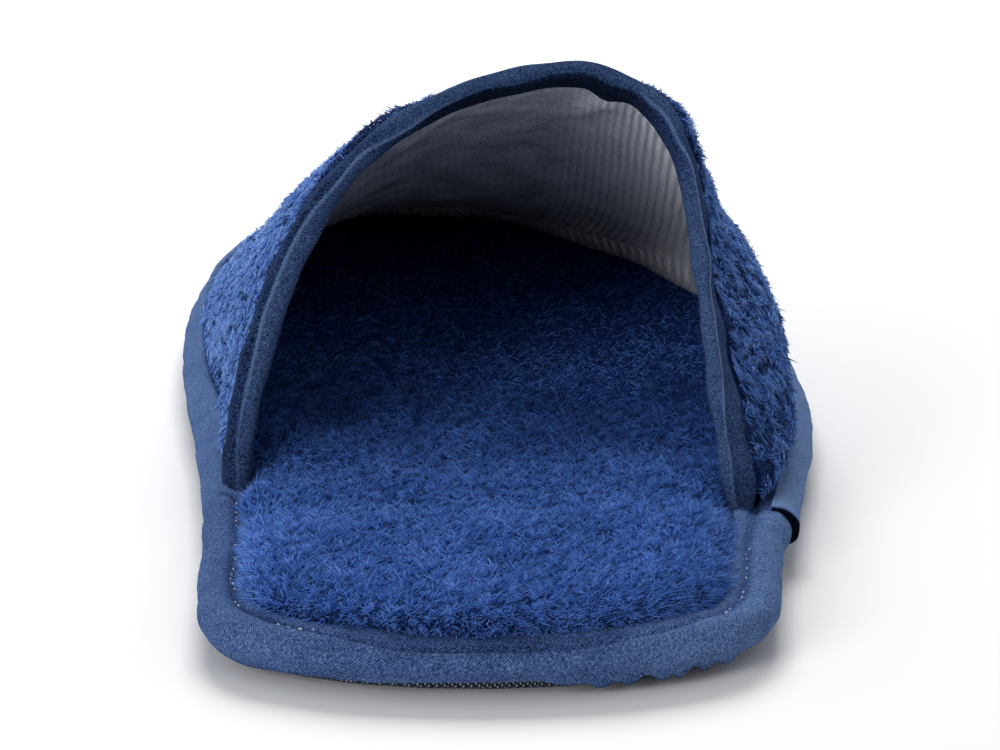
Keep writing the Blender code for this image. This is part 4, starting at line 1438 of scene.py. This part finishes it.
# %% Vamp pile
VAMP_PILE = (
    # name, share from, share to, fibres
    ("vamp_pile_outer", 0.0, 0.5, 41000),
    ("vamp_pile_inner", 0.5, 1.0, 41000),
)
# The root colour is painted shade deep in the pile.
VAMP_SHADES = (0.006, 0.020, 0.090), (0.078, 0.200, 0.61), (0.33, 0.52, 0.94)
LOCK_LENGTH, LOCK_WIDTH, LOCK_LIFT, LOCK_WIDTHS = 1.75, 0.40, 0.45, (0.7, 1.3)
NEAR_COLLAR, CLOSE_FAR, CLOSE_NEAR, SIZE_FAR, SIZE_NEAR = 45.0, 0.65, 1.1, 1.12, 0.38
LOCK_CLUMPS, LOCK_LIE, LOCK_NAP = 0.05, (0.7, 0.3, 0.55), np.array([0.0, -0.3, -0.6])
LOCK_TILT, LOCK_TILT_LIMITS, STRAYS, STRAY_TILT = (1.36, 0.10, 0.14), (0.85, 1.55), 0.007, 0.6
LOCK_VARY, LOCK_LIMITS, LOCK_TONE = 0.25, (0.3, 1.6), (0.26, 0.18)
TUFTS = (
    # share over the vamp, half width
    (0.345, 0.07), (0.690, 0.09),
)
TUFT_REACH, TUFT_LENGTH, TUFT_TILT, TUFT_PAINTED_SHADE = 6.0, 1.3, 0.75, (0.12, 0.32)
TUFT_BENT, TUFT_BREAKS, TUFT_BREAK_LEVEL = 0.8, (1.8, 117), -0.2

vamp_finish = pile_finish("vamp_pile", *VAMP_SHADES)

for number, (name, start, end, count) in enumerate(VAMP_PILE):
    draw = np.random.default_rng(110 + number)
    weight = free_face & (vamp_share >= start) & (vamp_share < end)
    weight = weight * (CLOSE_FAR + CLOSE_NEAR * np.exp(-vamp.run_v / NEAR_COLLAR))
    u, v = scatter(towelling, weight, count, 120 + number)
    root, normal, to_head, clump = comb(towelling, u, v, LOCK_CLUMPS, 125 + number)
    run = vamp.read(vamp.run_v, u, v)
    size = SIZE_FAR - SIZE_NEAR * np.exp(-run / NEAR_COLLAR)
    past_tape = run - read_table(COLLAR_FOLDS, 1, u)
    way = lie(LOCK_NAP, normal, to_head, clump, draw.normal(size=root.shape), LOCK_LIE)
    tilt = np.clip(vary(clump, draw, *LOCK_TILT), *LOCK_TILT_LIMITS)
    stray = draw.uniform(size=len(root)) < STRAYS
    tilt[stray] = STRAY_TILT
    tuft = sum(bell(u, at, half, power=4) for at, half in TUFTS) * (past_tape < TUFT_REACH)
    raised = TUFT_BENT * tuft * (ripple(root, *TUFT_BREAKS) > TUFT_BREAK_LEVEL)
    tilt = tilt + (TUFT_TILT - tilt) * raised
    by_collar = 1 - ease(past_tape / COLLAR_SHADE_REACH[number])
    pit = vamp_pits(root, past_tape, by_collar, number)
    length = np.clip(vary(clump, draw, 1.0, 0.0, LOCK_VARY) - PIT_SHORTER * pit, *LOCK_LIMITS)
    length *= LOCK_LENGTH * size * (1 + (TUFT_LENGTH - 1) * tuft)
    # Painted shade in the pits, by the collar tape and on its tufts.
    tone = vamp_tone(u, run, root[:, 2]) - PIT_PAINTED_SHADE * pit - STRAY_DARKER * stray
    tone -= COLLAR_PAINTED_SHADE * by_collar + TUFT_PAINTED_SHADE[number] * tuft
    tone += vary(clump, draw, 0.0, *LOCK_TONE)
    width = LOCK_WIDTH * size * draw.uniform(*LOCK_WIDTHS, len(root))
    piece = set_fibres(name, root + normal * LOCK_LIFT, normal, way, tilt, length, width, tone)
    finish_piece(piece, vamp_finish)
